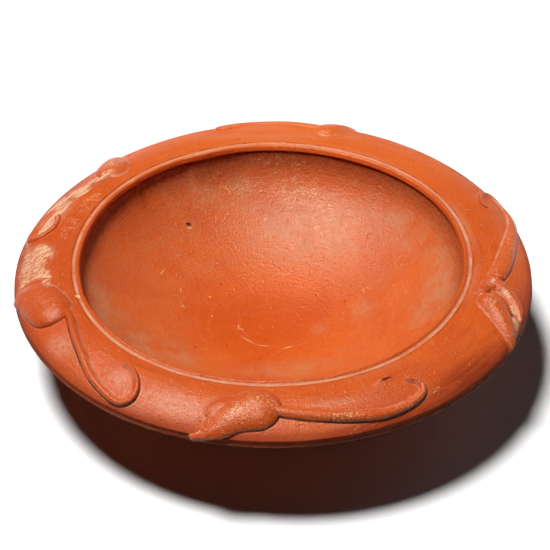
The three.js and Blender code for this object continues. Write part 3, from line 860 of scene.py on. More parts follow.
def foot_surface(sizes):
    """The foot ring: a section with softened lower corners and flared sides, carried round the dish's axis,
    with waves that fade towards the floor. Its top lies in the body's underside."""
    outer, top, soft = FOOT_HIGH.x, FOOT_HIGH.z, sizes.foot_rounding
    stand = outer - sizes.foot_flare
    inside = stand - sizes.foot_width
    inner_top = -FOOT_LOW.x - sizes.foot_width - 2 * sizes.foot_flare
    section = np.concatenate([
        np.linspace((outer, top), (stand, soft), FOOT_SIDE_POINTS),
        bend((stand, soft), (stand, 0), (stand - soft, 0), FOOT_CORNER_POINTS),
        np.linspace((stand - soft, 0), (inside + soft, 0), FOOT_INSIDE_POINTS)[1:],
        bend((inside + soft, 0), (inside, 0), (inside, soft), FOOT_CORNER_POINTS),
        np.linspace((inside, soft), (inner_top, sizes.base_height + sizes.foot_bite), FOOT_INSIDE_POINTS)[1:],
    ])
    angle = np.linspace(0, TURN, FOOT_SIDES, endpoint=False)
    wobble = waves(angle, FOOT_WAVES) * ease(section[:, 1:] / (FOOT_WAVE_HEIGHT * MM))
    points = polar(section[:, :1] + wobble, angle, section[:, 1:]).reshape(-1, 3)
    return surface_mesh("luted_foot", points, hoop_faces(len(section), FOOT_SIDES), {})


def arch(aside, crisp):
    """Height across a stroke, from 1 on its middle to 0 at its edge: a low hill on its soft side, where
    crisp is -1, and a steep-sided hump on its crisp side, where it is 1."""
    soft = hill(aside, SOFT_FALL)
    steep = np.clip(1 - aside**CRISP_FULLNESS, 0, None) ** CRISP_FALL
    return soft + (steep - soft) * ease(0.5 + 0.5 * crisp)


def stroke_values(motif, points, angle, lime, edge, crisp, crown):
    """Values at a stroke's points: the motif's shares of painted edge shade and lime, marks, the sides
    painted lighter at the back and deeper at the left, and where on the stroke each point lies."""
    everywhere = np.ones(len(points))
    return {
        "edge": edge,
        "crisp": crisp,
        "crown": np.clip(crown, 0, 1),
        "cream": mark_field(points, STROKE_CREAM_MARKS, SOFT_FADE),
        "shine": mark_field(points, SHINE_MARKS, SOFT_FADE),
        "edge_shade": motif["edge_shade"] * everywhere,
        "lime": lime * everywhere,
        "back": bell(angle, BACK_ANGLE, BACK_SPREAD),
        "left": bell(angle, LEFT_ANGLE, LEFT_SPREAD),
    }


def leaf_stroke(sizes, stroke, spots):
    """How deep spots lie inside one stroke, its height there and how far they lie to its crisp side. The
    stroke is what round blobs cover, set along its route and shrinking by a power of the length."""
    width = flange_width(sizes)
    line = smooth_route(stroke["route"], STROKE_POINTS) * width
    share = np.linspace(0, 1, len(line))
    half = stroke["half"] * width * (1 - (1 - stroke["tip"]) * share ** stroke["taper"])
    offset = spots[..., None, :] - line
    away = np.linalg.norm(offset, axis=-1)
    nearest = (away / half).argmin(-1)[..., None]
    away = np.take_along_axis(away, nearest, -1)[..., 0]
    offset = np.take_along_axis(offset, nearest[..., None], -2)[..., 0, :]
    half = half[nearest[..., 0]]
    crisp = offset @ np.array(CRISP_SIDE) / (away + TINY)
    high = stroke["height"] * MM * np.sqrt(half / (stroke["half"] * width))
    return half - away, high * arch(np.minimum(away / half, 1), crisp), crisp


def leaf_form(sizes, motif, spots):
    """Depth inside the leaf's outline, height over it and side, over all of its strokes: the higher stroke
    shows, and where two meet they run together over the motif's blend."""
    depth, height, crisp = leaf_stroke(sizes, motif["leaf"][0], spots)
    for stroke in motif["leaf"][1:]:
        other_depth, other, other_crisp = leaf_stroke(sizes, stroke, spots)
        crisp = np.where(other_depth > depth, other_crisp, crisp)
        depth = np.maximum(depth, other_depth)
        blend = np.minimum(motif["blend"] * MM, np.minimum(height, other)) + TINY
        share = np.clip(0.5 + 0.5 * (height - other) / blend, 0, 1)
        height = share * height + (1 - share) * other + blend * share * (1 - share)
    return depth, height, crisp


def leaf_reach(sizes, motif, middle, turn):
    """How far the leaf's outline lies from its middle along each turn: the last place that is inside it."""
    reach = np.linspace(0, LEAF_REACH * flange_width(sizes), REACH_STEPS)
    depth = leaf_form(sizes, motif, middle + rays(turn)[:, None, :] * reach[:, None])[0]
    inside = np.where(depth > 0, np.arange(len(reach)), 0).max(1)
    rows = np.arange(len(turn))
    here, beyond = depth[rows, inside], depth[rows, np.minimum(inside + 1, len(reach) - 1)]
    return reach[inside] + (reach[1] - reach[0]) * np.clip(here / (here - beyond + TINY), 0, 1)


def leaf_turns(sizes, motif, middle):
    """Turns about the leaf's middle that set points evenly along its outline."""
    turn = np.linspace(0, TURN, OUTLINE_POINTS, endpoint=False)
    outline = middle + rays(turn) * leaf_reach(sizes, motif, middle, turn)[:, None]
    run = run_along(np.concatenate([outline, outline[:1]]))
    return np.interp(np.linspace(0, run[-1], LEAF_SIDES, endpoint=False), run, np.r_[turn, TURN])


def leaf_surface(sizes, motif, name):
    """A leaf: rings from its middle out to its outline, lifted to its height, then a thin skirt on the
    flange, and the same outline sunk into the flange as its underside."""
    middle = np.array(motif["middle"]) * flange_width(sizes)
    turn = leaf_turns(sizes, motif, middle)
    reach = leaf_reach(sizes, motif, middle, turn)
    top = (1 - (1 - np.linspace(0, 1, LEAF_RINGS)[1:]) ** RING_CROWDING)[:, None]
    skirt = np.linspace(0, 1, FILM_STEPS)[1:, None]
    under = np.linspace(1, UNDER_SHARE, UNDER_RINGS)[:, None]
    out = np.concatenate([top * reach, reach + skirt * sizes.skirt_width, under * reach])
    spots = middle + rays(turn) * out[..., None]
    depth, height, crisp = leaf_form(sizes, motif, spots)
    ones = np.ones_like(reach)
    lift = np.concatenate([
        height[: len(top)] + sizes.film_rise,
        (sizes.film_rise - sizes.film_sink * skirt) * ones,
        -sizes.stroke_root * np.ones_like(under) * ones,
    ])
    edge = np.concatenate([
        np.maximum(depth[: len(top)], 0),
        -skirt * sizes.skirt_width * ones,
        -MM * np.ones_like(under) * ones,
    ])
    peak = leaf_form(sizes, motif, middle[None])[1]
    spots = np.concatenate([middle[None], spots.reshape(-1, 2), middle[None]])
    lift = np.r_[peak, lift.ravel(), -sizes.stroke_root]
    angle = math.radians(motif["at"]) + spots[:, 0] / sizes.stroke_radius
    points = flange_place(sizes, angle, spots[:, 1], lift)
    edge = np.r_[edge[0, 0], edge.ravel(), -MM]
    crisp = np.r_[0, crisp.ravel(), 0]
    crown = lift / (motif["leaf"][0]["height"] * MM)
    values = stroke_values(motif, points, angle, motif["lime"][0], edge, crisp, crown)
    return surface_mesh(name, points, ring_faces(len(out), len(turn)), values)


def tendril_line(sizes, motif):
    """A tendril's route as runs round and across the flange, with points closer together towards its tip,
    and their shares along it: half the share goes as a sine."""
    even = np.linspace(0, 1, TENDRIL_RINGS)
    step = np.sin(even * math.pi / 2) * 0.5 + even * 0.5
    route = np.array(motif["tendril"], float)
    round_run = np.radians(route[:, 0] + motif["at"]) * sizes.stroke_radius
    route = np.stack([round_run, route[:, 1] * flange_width(sizes)], -1)
    line = smooth_route(route, TENDRIL_FINE)
    return along_line(line, np.linspace(0, 1, TENDRIL_FINE), step), step


def tendril_surface(sizes, motif, name):
    """A tendril: an arched section, wider on its soft side, with a thin skirt on each side and an underside
    sunk into the flange, carried along the tendril's route. Its width follows the motif's, its height goes
    as the width's root, and both ends round off as quarter circles."""
    line, step = tendril_line(sizes, motif)
    across = quarter_turned(unit(np.gradient(line, axis=0)))
    full = np.interp(step, *smooth_route(motif["widths"], WIDTHS_FINE).T) * flange_width(sizes)
    ending = np.sqrt(1 - (1 - np.minimum((1 - step) / TIP_SHARE, 1)) ** 2)
    starting = np.sqrt(1 - (1 - np.minimum(step / ROOT_SHARE, 1)) ** 2)
    half = (full / 2 * ending * starting)[:, None]
    height = (motif["height"] * MM * np.sqrt(full / full.max()) * ending * starting)[:, None]
    aside = np.sin(np.linspace(-math.pi / 2, math.pi / 2, ARCH_POINTS))
    reach = np.where(aside > 0, CRISP_REACH, SOFT_REACH)
    share = np.linspace(0, 1, FILM_STEPS)[1:]
    skirt = share * sizes.skirt_width
    film = sizes.film_rise - sizes.film_sink * share
    sunk = np.array([SUNK_SHARE * CRISP_REACH, 0, -SUNK_SHARE * SOFT_REACH])
    narrow = np.minimum(half / (FILM_HALF * MM), 1)
    ones = np.ones_like(half)
    off = np.concatenate([
        aside * reach * half, CRISP_REACH * half + skirt * narrow, half * sunk,
        -SOFT_REACH * half - skirt[::-1] * narrow,
    ], 1)
    lift = np.concatenate([
        arch(np.abs(aside), np.clip(CRISP_TURN * aside, -1, 1)) * height + sizes.film_rise, film * ones,
        -sizes.stroke_root * np.ones_like(sunk) * ones, film[::-1] * ones,
    ], 1)
    edge = np.concatenate([
        (1 - np.abs(aside)) * reach * half, -skirt * ones, -MM * np.ones_like(sunk) * ones,
        -skirt[::-1] * ones,
    ], 1)
    spots = line[:, None, :] + across[:, None, :] * off[..., None]
    spots = np.concatenate([line[:1], spots.reshape(-1, 2), line[-1:]])
    lift = np.r_[0, lift.ravel(), 0]
    angle = spots[:, 0] / sizes.stroke_radius
    points = flange_place(sizes, angle, spots[:, 1], lift)
    edge = np.r_[0, edge.ravel(), 0]
    crisp = np.r_[0, np.sign(off).ravel(), 0]
    crown = lift / (motif["height"] * MM)
    values = stroke_values(motif, points, angle, motif["lime"][1], edge, crisp, crown)
    return surface_mesh(name, points, ring_faces(len(step), off.shape[1]), values)


class Nodes:
    """A node tree being wired: each method adds nodes and gives back the socket that leaves them."""

    def __init__(self, tree):
        self.tree = tree

    def fill(self, node, values):
        """Puts values, or links from other nodes, on a node's inputs; gives back the node's outputs."""
        for key, value in values.items():
            if isinstance(value, bpy.types.NodeSocket):
                self.tree.links.new(value, node.inputs[key])
            else:
                node.inputs[key].default_value = value
        return node.outputs

    def add(self, kind, values, out=0, **settings):
        """A node of this kind, with its settings, and with values or links on its inputs."""
        node = self.tree.nodes.new(kind)
        for key, value in settings.items():
            setattr(node, key, value)
        return self.fill(node, values)[out]

    def group(self, name, values):
        """A placed node group, by the outputs' names."""
        node = self.tree.nodes.new("ShaderNodeGroup")
        node.node_tree = bpy.data.node_groups[name]
        return self.fill(node, values)

    def chain(self, operation, values, clamp=False):
        """One operation carried through several values in turn."""
        first, *others = values
        for other in others:
            first = self.add("ShaderNodeMath", {0: first, 1: other}, operation=operation, use_clamp=clamp)
        return first

    def times(self, *values, clamp=False):
        """Values multiplied."""
        return self.chain("MULTIPLY", values, clamp)

    def plus(self, *values):
        """Values added."""
        return self.chain("ADD", values)

    def minus(self, *values):
        """Values taken from the first."""
        return self.chain("SUBTRACT", values)

    def most(self, *values):
        """The greatest of the values."""
        return self.chain("MAXIMUM", values)

    def size(self, value):
        """A value without its sign."""
        return self.add("ShaderNodeMath", {0: value}, operation="ABSOLUTE")

    def ease(self, value, low, high, start=0.0, end=1.0):
        """Value taken smoothly from start at low to end at high."""
        values = {"Value": value, "From Min": low, "From Max": high, "To Min": start, "To Max": end}
        return self.add("ShaderNodeMapRange", values, interpolation_type="SMOOTHSTEP")

    def between(self, share, start, end):
        """From start where a share is 0, smoothly to end where it is 1."""
        return self.ease(share, 0.0, 1.0, start, end)

    def band(self, run, edges, start=0.0, end=1.0):
        """From start to end between two runs, given in millimetres."""
        low, high = edges
        return self.ease(run, low * MM, high * MM, start, end)

    def tint(self, share, under, over):
        """Colour over another by a share."""
        return self.add("ShaderNodeMix", {0: share, 6: under, 7: over}, 2, data_type="RGBA")

    def grains(self, vector, scale, detail, roughness):
        """Soft noise, with its scale in grains to the metre."""
        values = {"Vector": vector, "Scale": scale, "Detail": detail, "Roughness": roughness}
        return self.add("ShaderNodeTexNoise", values)

    def noise(self, vector, name):
        """One of the named noises."""
        return self.grains(vector, *NOISES[name])

    def field(self, name):
        """A named value that the mesh's points carry."""
        return self.add("ShaderNodeAttribute", {}, 2, attribute_name=name)

    def place(self):
        """Place on the piece, in its own coordinates."""
        return self.add("ShaderNodeTexCoord", {}, 3)

    def height(self, vector):
        """Height of a place."""
        return self.add("ShaderNodeSeparateXYZ", {0: vector}, 2)

    def move(self, operation, first, second):
        """One operation on two vectors."""
        return self.add("ShaderNodeVectorMath", {0: first, 1: second}, operation=operation)

    def distance(self, vector):
        """Distance of a place from the upright through the middle."""
        flat = self.move("MULTIPLY", vector, (1, 1, 0))
        return self.add("ShaderNodeVectorMath", {0: flat}, 1, operation="LENGTH")


def new_group(name, inputs, outputs):
    """An empty node group with named sockets; gives back its wiring, its inputs' sockets and its output
    node."""
    tree = bpy.data.node_groups.new(name, "ShaderNodeTree")
    for way, sockets in (("INPUT", inputs), ("OUTPUT", outputs)):
        for key, kind in sockets.items():
            tree.interface.new_socket(key, in_out=way, socket_type=f"NodeSocket{kind}")
    return Nodes(tree), tree.nodes.new("NodeGroupInput").outputs, tree.nodes.new("NodeGroupOutput")


def slip_coat_group():
    """Slip coat: broad clouds between thick and thin slip, fine lumps and knobs, dark pores and pale
    grains. The grains' scale, and how strong pores and pale grains are, come from outside."""
    nodes, entry, leave = new_group(
        "Slip coat",
        {"Vector": "Vector", "Slip": "Color", "Deep": "Color", "Fleck": "Color", "Soot": "Color",
         "Grain": "Float", "Pores": "Float", "Flecks": "Float"},
        {"Color": "Color", "Roughness": "Float", "Height": "Float"},
    )
    vector = entry["Vector"]
    smears = nodes.noise(vector, "smears")
    grain = nodes.grains(vector, entry["Grain"], 2, 0.6)
    pale = nodes.grains(vector, nodes.times(entry["Grain"], 0.9), 1, 0.5)
    clouds = nodes.ease(nodes.noise(vector, "clouds"), 0.3, 0.7, 0.2, 1.0)
    tone = nodes.tint(clouds, entry["Deep"], entry["Slip"])
    tone = nodes.tint(nodes.ease(smears, 0.5, 0.75, 0, 0.35), tone, entry["Deep"])
    tone = nodes.tint(nodes.times(nodes.ease(grain, 0.47, 0.3), entry["Pores"]), tone, entry["Soot"])
    tone = nodes.tint(nodes.times(nodes.ease(pale, 0.53, 0.61), entry["Flecks"]), tone, entry["Fleck"])
    knobs = nodes.ease(nodes.noise(vector, "knobs"), 0.58, 0.72)
    lumps = nodes.noise(vector, "lumps")
    height = nodes.plus(nodes.times(grain, 0.7), nodes.times(lumps, 0.7), nodes.times(knobs, 0.5))
    roughness = nodes.ease(smears, 0.3, 0.7, 0.34, 0.44)
    nodes.fill(leave, {"Color": tone, "Roughness": roughness, "Height": height})


def turned_marks_group():
    """Turned marks: noise drawn out round the dish's axis, fine across the radius and slow round it."""
    nodes, entry, leave = new_group(
        "Turned marks", {"Vector": "Vector", "Fineness": "Float"}, {"Mark": "Float"}
    )
    vector = entry["Vector"]
    slope = nodes.plus(nodes.distance(vector), nodes.times(nodes.height(vector), TURNED_LIFT))
    across = nodes.add("ShaderNodeCombineXYZ", {2: nodes.times(slope, entry["Fineness"])})
    slow = nodes.move("MULTIPLY", vector, (TURNED_SLOW, TURNED_SLOW, 0))
    nodes.fill(leave, {"Mark": nodes.grains(nodes.move("ADD", slow, across), 1, 3, 0.6)})


def placed_mark_group():
    """Placed mark: an oval about a place, 1 at its middle and 0 at its edge, turned and sized as told."""
    nodes, entry, leave = new_group(
        "Placed mark",
        {"Vector": "Vector", "Place": "Vector", "Turn": "Vector", "Half Size": "Vector"},
        {"Mask": "Float"},
    )
    values = {
        "Vector": entry["Vector"], "Location": entry["Place"], "Rotation": entry["Turn"],
        "Scale": entry["Half Size"],
    }
    local = nodes.add("ShaderNodeMapping", values, vector_type="TEXTURE")
    nodes.fill(leave, {"Mask": nodes.ease(nodes.distance(local), 1.0, 0.1)})


def worn_skin_group():
    """Worn skin: where a mask is strong, most of the slip has gone; where it is weak, only streaks and
    flecks. The streaks run slantwise, as a cloth or a spade would rub."""
    nodes, entry, leave = new_group(
        "Worn skin", {"Vector": "Vector", "Mask": "Float", "Grain": "Float"}, {"Worn": "Float"}
    )
    values = {
        "Vector": entry["Vector"], "Rotation": (0, 0, math.radians(RUB_TURN)), "Scale": (RUB_STRETCH, 1, 1),
    }
    drawn = nodes.add("ShaderNodeMapping", values, vector_type="TEXTURE")
    streaks = nodes.grains(drawn, entry["Grain"], 2, 0.6)
    flecks = nodes.grains(entry["Vector"], nodes.times(entry["Grain"], 2.0), 2, 0.6)
    fine = nodes.plus(nodes.times(streaks, 0.6), nodes.times(flecks, 0.4))
    reach = nodes.minus(0.68, nodes.times(entry["Mask"], 0.24))
    worn = nodes.ease(nodes.minus(fine, reach), -0.01, 0.06)
    nodes.fill(leave, {"Worn": nodes.times(worn, nodes.ease(entry["Mask"], 0.02, 0.2))})


def soft_line_group():
    """Soft line: a soft, broken line along a crease, by the distance from it, for lime and for painted shade.
    """
    nodes, entry, leave = new_group(
        "Soft line", {"Vector": "Vector", "Distance": "Float", "Half Width": "Float"}, {"Mask": "Float"}
    )
    ragged = nodes.minus(nodes.noise(entry["Vector"], "ragged"), 0.5)
    share = nodes.size(nodes.chain("DIVIDE", (entry["Distance"], entry["Half Width"])))
    near = nodes.ease(nodes.plus(share, ragged), 1.0, 0.2)
    broken = nodes.ease(nodes.noise(entry["Vector"], "broken"), 0.36, 0.62, 0.15, 1.0)
    nodes.fill(leave, {"Mask": nodes.times(near, broken)})


def mark_mask(nodes, vector, marks):
    """The strongest of several placed marks at each spot."""
    mask = 0.0
    for angle, radius, half_length, half_width, turn, strength in marks:
        around = math.radians(angle)
        values = {
            "Vector": vector,
            "Place": (radius * MM * math.sin(around), -radius * MM * math.cos(around), 0),
            "Turn": (0, 0, around + math.radians(turn)),
            "Half Size": (half_length * MM, half_width * MM, 1),
        }
        mask = nodes.most(mask, nodes.times(nodes.group("Placed mark", values)["Mask"], strength))
    return mask


def new_material(name):
    """A material with a plain Principled shader; gives back the material, its wiring and the shader."""
    material = bpy.data.materials.new(name)
    material.use_nodes = True
    return material, Nodes(material.node_tree), material.node_tree.nodes["Principled BSDF"]


def finish_slip(slip, nodes, shader, tone, roughness, height, relief):
    """Feeds a slip finish to its shader, with its height as bumps of so many millimetres."""
    bump = nodes.add("ShaderNodeBump", {"Height": height, "Strength": 1.0, "Distance": relief * MM})
    nodes.fill(shader, {
        "Base Color": tone, "Roughness": roughness, "Normal": bump, "Specular IOR Level": SHINE_LEVEL,
        "Specular Tint": slip.sheen,
    })


def slip_coat(slip, nodes, vector, soot_and_shade, grain, pores, flecks):
    """The slip coat group in a material, with its pores in the tone that is given for soot."""
    return nodes.group("Slip coat", {
        "Vector": vector, "Slip": slip.slip, "Deep": slip.deep_slip_and_shade, "Fleck": slip.fleck_and_glint, "Soot": soot_and_shade,
        "Grain": grain, "Pores": pores, "Flecks": flecks,
    })


def turned_marks(nodes, vector, fineness):
    """The turned marks group in a material."""
    return nodes.group("Turned marks", {"Vector": vector, "Fineness": fineness})["Mark"]


def worn_skin(nodes, vector, mask, grain):
    """The worn skin group in a material."""
    return nodes.group("Worn skin", {"Vector": vector, "Mask": mask, "Grain": grain})["Worn"]


def soft_line(nodes, vector, distance, half_width):
    """The soft line group in a material."""
    values = {"Vector": vector, "Distance": distance, "Half Width": half_width}
    return nodes.group("Soft line", values)["Mask"]


def painted_sides(slip, nodes, tone, share):
    """A tone with painted light and shade: lightened at the back and deepened at the left, by the values
    that points carry."""
    # Painted light at the back, and painted shade with deep slip at the left.
    painted_lit = nodes.times(nodes.field("back"), nodes.times(share, 0.6))
    thick = nodes.times(nodes.field("left"), nodes.times(share, 0.65))
    return nodes.tint(thick, nodes.tint(painted_lit, tone, slip.painted_lit_slip), slip.deep_slip_and_shade)


def bowl_dust_and_shade(slip, nodes, vector, tone, from_groove, in_bowl, grit):
    """Deep slip in the bowl's hollow, silt over it and up its wall, and painted shade under the bead; gives
    back the tone and the silt."""
    tone = nodes.tint(nodes.band(from_groove, GROOVE_BANDS["hollow"], 0, 0.6), tone, slip.deep_slip_and_shade)
    silt = nodes.plus(nodes.field("silt"), nodes.band(from_groove, GROOVE_BANDS["slope"], 0.0, 0.25))
    silt = nodes.times(
        silt, nodes.ease(nodes.noise(vector, "dust"), 0.18, 0.7), nodes.ease(grit, 0.3, 0.6, 0.4, 1.0)
    )
    tone = nodes.tint(nodes.times(silt, in_bowl), tone, slip.silt)
    # Painted shade on the wall under the bead.
    bead_shade = nodes.times(
        nodes.band(from_groove, GROOVE_BANDS["bead_shade_low"]),
        nodes.band(from_groove, GROOVE_BANDS["bead_shade_high"]),
        nodes.ease(grit, 0.35, 0.6, 0.8, 0.4),
    )
    return nodes.tint(bead_shade, tone, slip.bead_shade), silt


def flange_wear_and_light(slip, nodes, tone, on_flange, grit, lines):
    """Bloom on the flange, partly rubbed skin and partly painted sheen, and burnt streaks with painted shade
    along it.
    """
    # Bloom: rubbed skin, and painted sheen where the marks lie on the front flange.
    bloom_and_sheen = nodes.times(nodes.field("bloom_and_sheen"), nodes.ease(grit, 0.36, 0.62, 0.15, 1.0), clamp=True)
    tone = nodes.tint(nodes.times(bloom_and_sheen, on_flange), tone, slip.bloom_and_sheen)
    # Burnt streaks and painted shade on the flange's outer part.
    burnt_and_shade = nodes.times(nodes.field("burnt_and_shade"), nodes.ease(lines, 0.35, 0.6, 0.35, 0.9))
    burnt_and_shade = nodes.most(burnt_and_shade, nodes.ease(lines, 0.52, 0.68, 0.0, 0.28))
    return nodes.tint(nodes.times(burnt_and_shade, on_flange), tone, slip.burnt_and_shade)


def groove_lime_and_shade(slip, nodes, vector, tone, from_groove, grit):
    """Lime in the groove, with a halo beside it where marks say so, and painted shade along the crease past
    it; gives back the tone and the lime."""
    band = nodes.times(
        nodes.band(from_groove, GROOVE_BANDS["lime_in"]), nodes.band(from_groove, GROOVE_BANDS["lime_out"]),
        nodes.ease(nodes.noise(vector, "groove"), 0.32, 0.64, 0.5, 1.1),
    )
    halo = nodes.times(
        nodes.band(from_groove, GROOVE_BANDS["halo_in"]),
        nodes.band(from_groove, GROOVE_BANDS["halo_out"], 0.0, 0.4), nodes.field("halo"),
    )
    lime = nodes.times(nodes.most(band, halo), nodes.ease(grit, 0.3, 0.6, 0.5, 0.95))
    tone = nodes.tint(lime, tone, slip.lime)
    # Painted shade along the crease past the groove.
    crease_shade = soft_line(nodes, vector, nodes.minus(from_groove, CREASE_SHADE_PLACE * MM), CREASE_SHADE_HALF * MM)
    return nodes.tint(nodes.times(crease_shade, 0.7), tone, slip.soot_and_shade), lime


def body_scars(slip, nodes, vector, tone, in_bowl, lines):
    """Cream where the slip is worn through, pale arcs in the bowl, scratches and hairlines, and pits; gives
    back the tone, the worn places and the pits."""
    worn = worn_skin(nodes, vector, nodes.field("cream"), WORN_GRAIN)
    tone = nodes.tint(worn, tone, slip.cream)
    arcs = nodes.times(nodes.ease(lines, 0.58, 0.72, 0.0, 0.3), in_bowl)
    tone = nodes.tint(arcs, tone, slip.bloom_and_sheen)
    line = nodes.ease(nodes.size(nodes.minus(nodes.noise(vector, "hairlines"), 0.5)), 0.006, 0.002)
    line = nodes.times(line, nodes.ease(nodes.noise(vector, "hairline_gaps"), 0.6, 0.68), 0.25)
    tone = nodes.tint(nodes.most(mark_mask(nodes, vector, SCRATCH_MARKS), line), tone, slip.fleck_and_glint)
    pits = mark_mask(nodes, vector, PIT_MARKS)
    return nodes.tint(pits, tone, slip.soot_and_shade), worn, pits


def lip_shade_and_wear(slip, nodes, vector, tone, from_lip, marks):
    """Painted shade towards the lip, as deep slip in streaks and burnt slip, and as a dark band on its
    upright edge, then a rubbed lower edge; gives back the tone and how dull the slip is."""
    # Painted shade: deep slip in streaks towards the lip.
    low = nodes.times(nodes.band(from_lip, LIP_BANDS["lip_shade"]), nodes.ease(marks, 0.4, 0.65, 0.15, 0.5))
    tone = nodes.tint(low, tone, slip.deep_slip_and_shade)
    # Painted shade on the lip's upright edge.
    lip_face_shade = nodes.times(
        nodes.band(from_lip, LIP_BANDS["shade_high"]), nodes.band(from_lip, LIP_BANDS["shade_low"], 0.0, 0.5)
    )
    tone = nodes.tint(lip_face_shade, tone, slip.soot_and_shade)
    # Painted shade: burnt slip short of the rim.
    tone = nodes.tint(nodes.band(from_lip, LIP_BANDS["burnt_and_shade"], 0.0, 0.4), tone, slip.burnt_and_shade)
    rubbed = soft_line(nodes, vector, nodes.minus(from_lip, RUBBED_PLACE * MM), RUBBED_HALF * MM)
    tone = nodes.tint(rubbed, tone, slip.cream)
    matt = nodes.times(nodes.band(from_lip, LIP_BANDS["matt"], 0.0, 0.35), nodes.field("back"))
    return tone, nodes.most(nodes.band(from_lip, LIP_BANDS["dull"], 0.0, 0.42), matt)


def body_material(slip):
    """Body's finish: slip coat with turned marks and painted glints, painted lighter at the back and deeper
    at the left, then dust in the bowl with painted shade under the bead, wear on the flange with painted
    sheen and painted shade, lime in the groove with painted shade along its crease, scars, and a dull, worn
    lip with painted shade."""
    material, nodes, shader = new_material("Body slip")
    vector = nodes.place()
    from_groove, from_lip = nodes.field("from_groove"), nodes.field("from_lip")
    in_bowl = nodes.band(from_groove, GROOVE_BANDS["bowl"])
    on_flange = nodes.minus(1.0, in_bowl)
    marks = turned_marks(nodes, vector, BROAD_MARKS)
    lines = turned_marks(nodes, vector, FINE_MARKS)
    grit = nodes.noise(vector, "grit")
    # Pale flecks: painted glints where the glint marks lie, and the slip's own pale grains everywhere.
    patches = nodes.ease(nodes.noise(vector, "patches"), 0.42, 0.6, 0.0, 0.9)
    flecks = nodes.plus(nodes.times(nodes.field("glints_and_flecks"), patches), 0.06)
    coat = slip_coat(slip, nodes, vector, slip.soot_and_shade, BODY_GRAIN, nodes.between(on_flange, 0.22, 0.26), flecks)
    streaks = nodes.times(nodes.ease(marks, 0.5, 0.7, 0.0, 0.5), nodes.between(on_flange, 0.4, 1.0))
    tone = nodes.tint(streaks, coat["Color"], slip.deep_slip_and_shade)
    tone = painted_sides(slip, nodes, tone, on_flange)
    tone, silt = bowl_dust_and_shade(slip, nodes, vector, tone, from_groove, in_bowl, grit)
    tone = flange_wear_and_light(slip, nodes, tone, on_flange, grit, lines)
    tone, lime = groove_lime_and_shade(slip, nodes, vector, tone, from_groove, grit)
    tone, worn, pits = body_scars(slip, nodes, vector, tone, in_bowl, lines)
    tone, dull = lip_shade_and_wear(slip, nodes, vector, tone, from_lip, marks)
    roughness = nodes.plus(
        coat["Roughness"], nodes.times(nodes.most(silt, worn), 0.15), nodes.between(in_bowl, -0.06, -0.05),
        nodes.most(dull, nodes.times(lime, 0.3)),
    )
    height = nodes.times(coat["Height"], nodes.between(on_flange, 1.0, 1.15))
    height = nodes.plus(height, nodes.times(marks, 0.4))
    height = nodes.minus(height, nodes.times(worn, 0.25), nodes.times(pits, 2.5))
    finish_slip(slip, nodes, shader, tone, roughness, height, BODY_RELIEF)
    return material


def foot_material(slip):
    """Foot's finish: duller slip with turned marks, rubbed to bloom where it stands."""
    material, nodes, shader = new_material("Foot slip")
    vector = nodes.place()
    coat = slip_coat(slip, nodes, vector, slip.soot_and_shade, FOOT_GRAIN, 0.2, 0.3)
    marks = turned_marks(nodes, vector, FOOT_MARKS)
    tone = nodes.tint(nodes.ease(marks, 0.45, 0.7, 0, 0.6), coat["Color"], slip.deep_slip_and_shade)
    low = nodes.band(nodes.height(vector), (FOOT_RUB_HEIGHT, 0))
    worn = worn_skin(nodes, vector, low, FOOT_WORN_GRAIN)
    tone = nodes.tint(worn, tone, slip.bloom_and_sheen)
    roughness = nodes.plus(coat["Roughness"], nodes.times(worn, 0.25))
    finish_slip(slip, nodes, shader, tone, roughness, nodes.plus(coat["Height"], marks), FOOT_RELIEF)
    return material


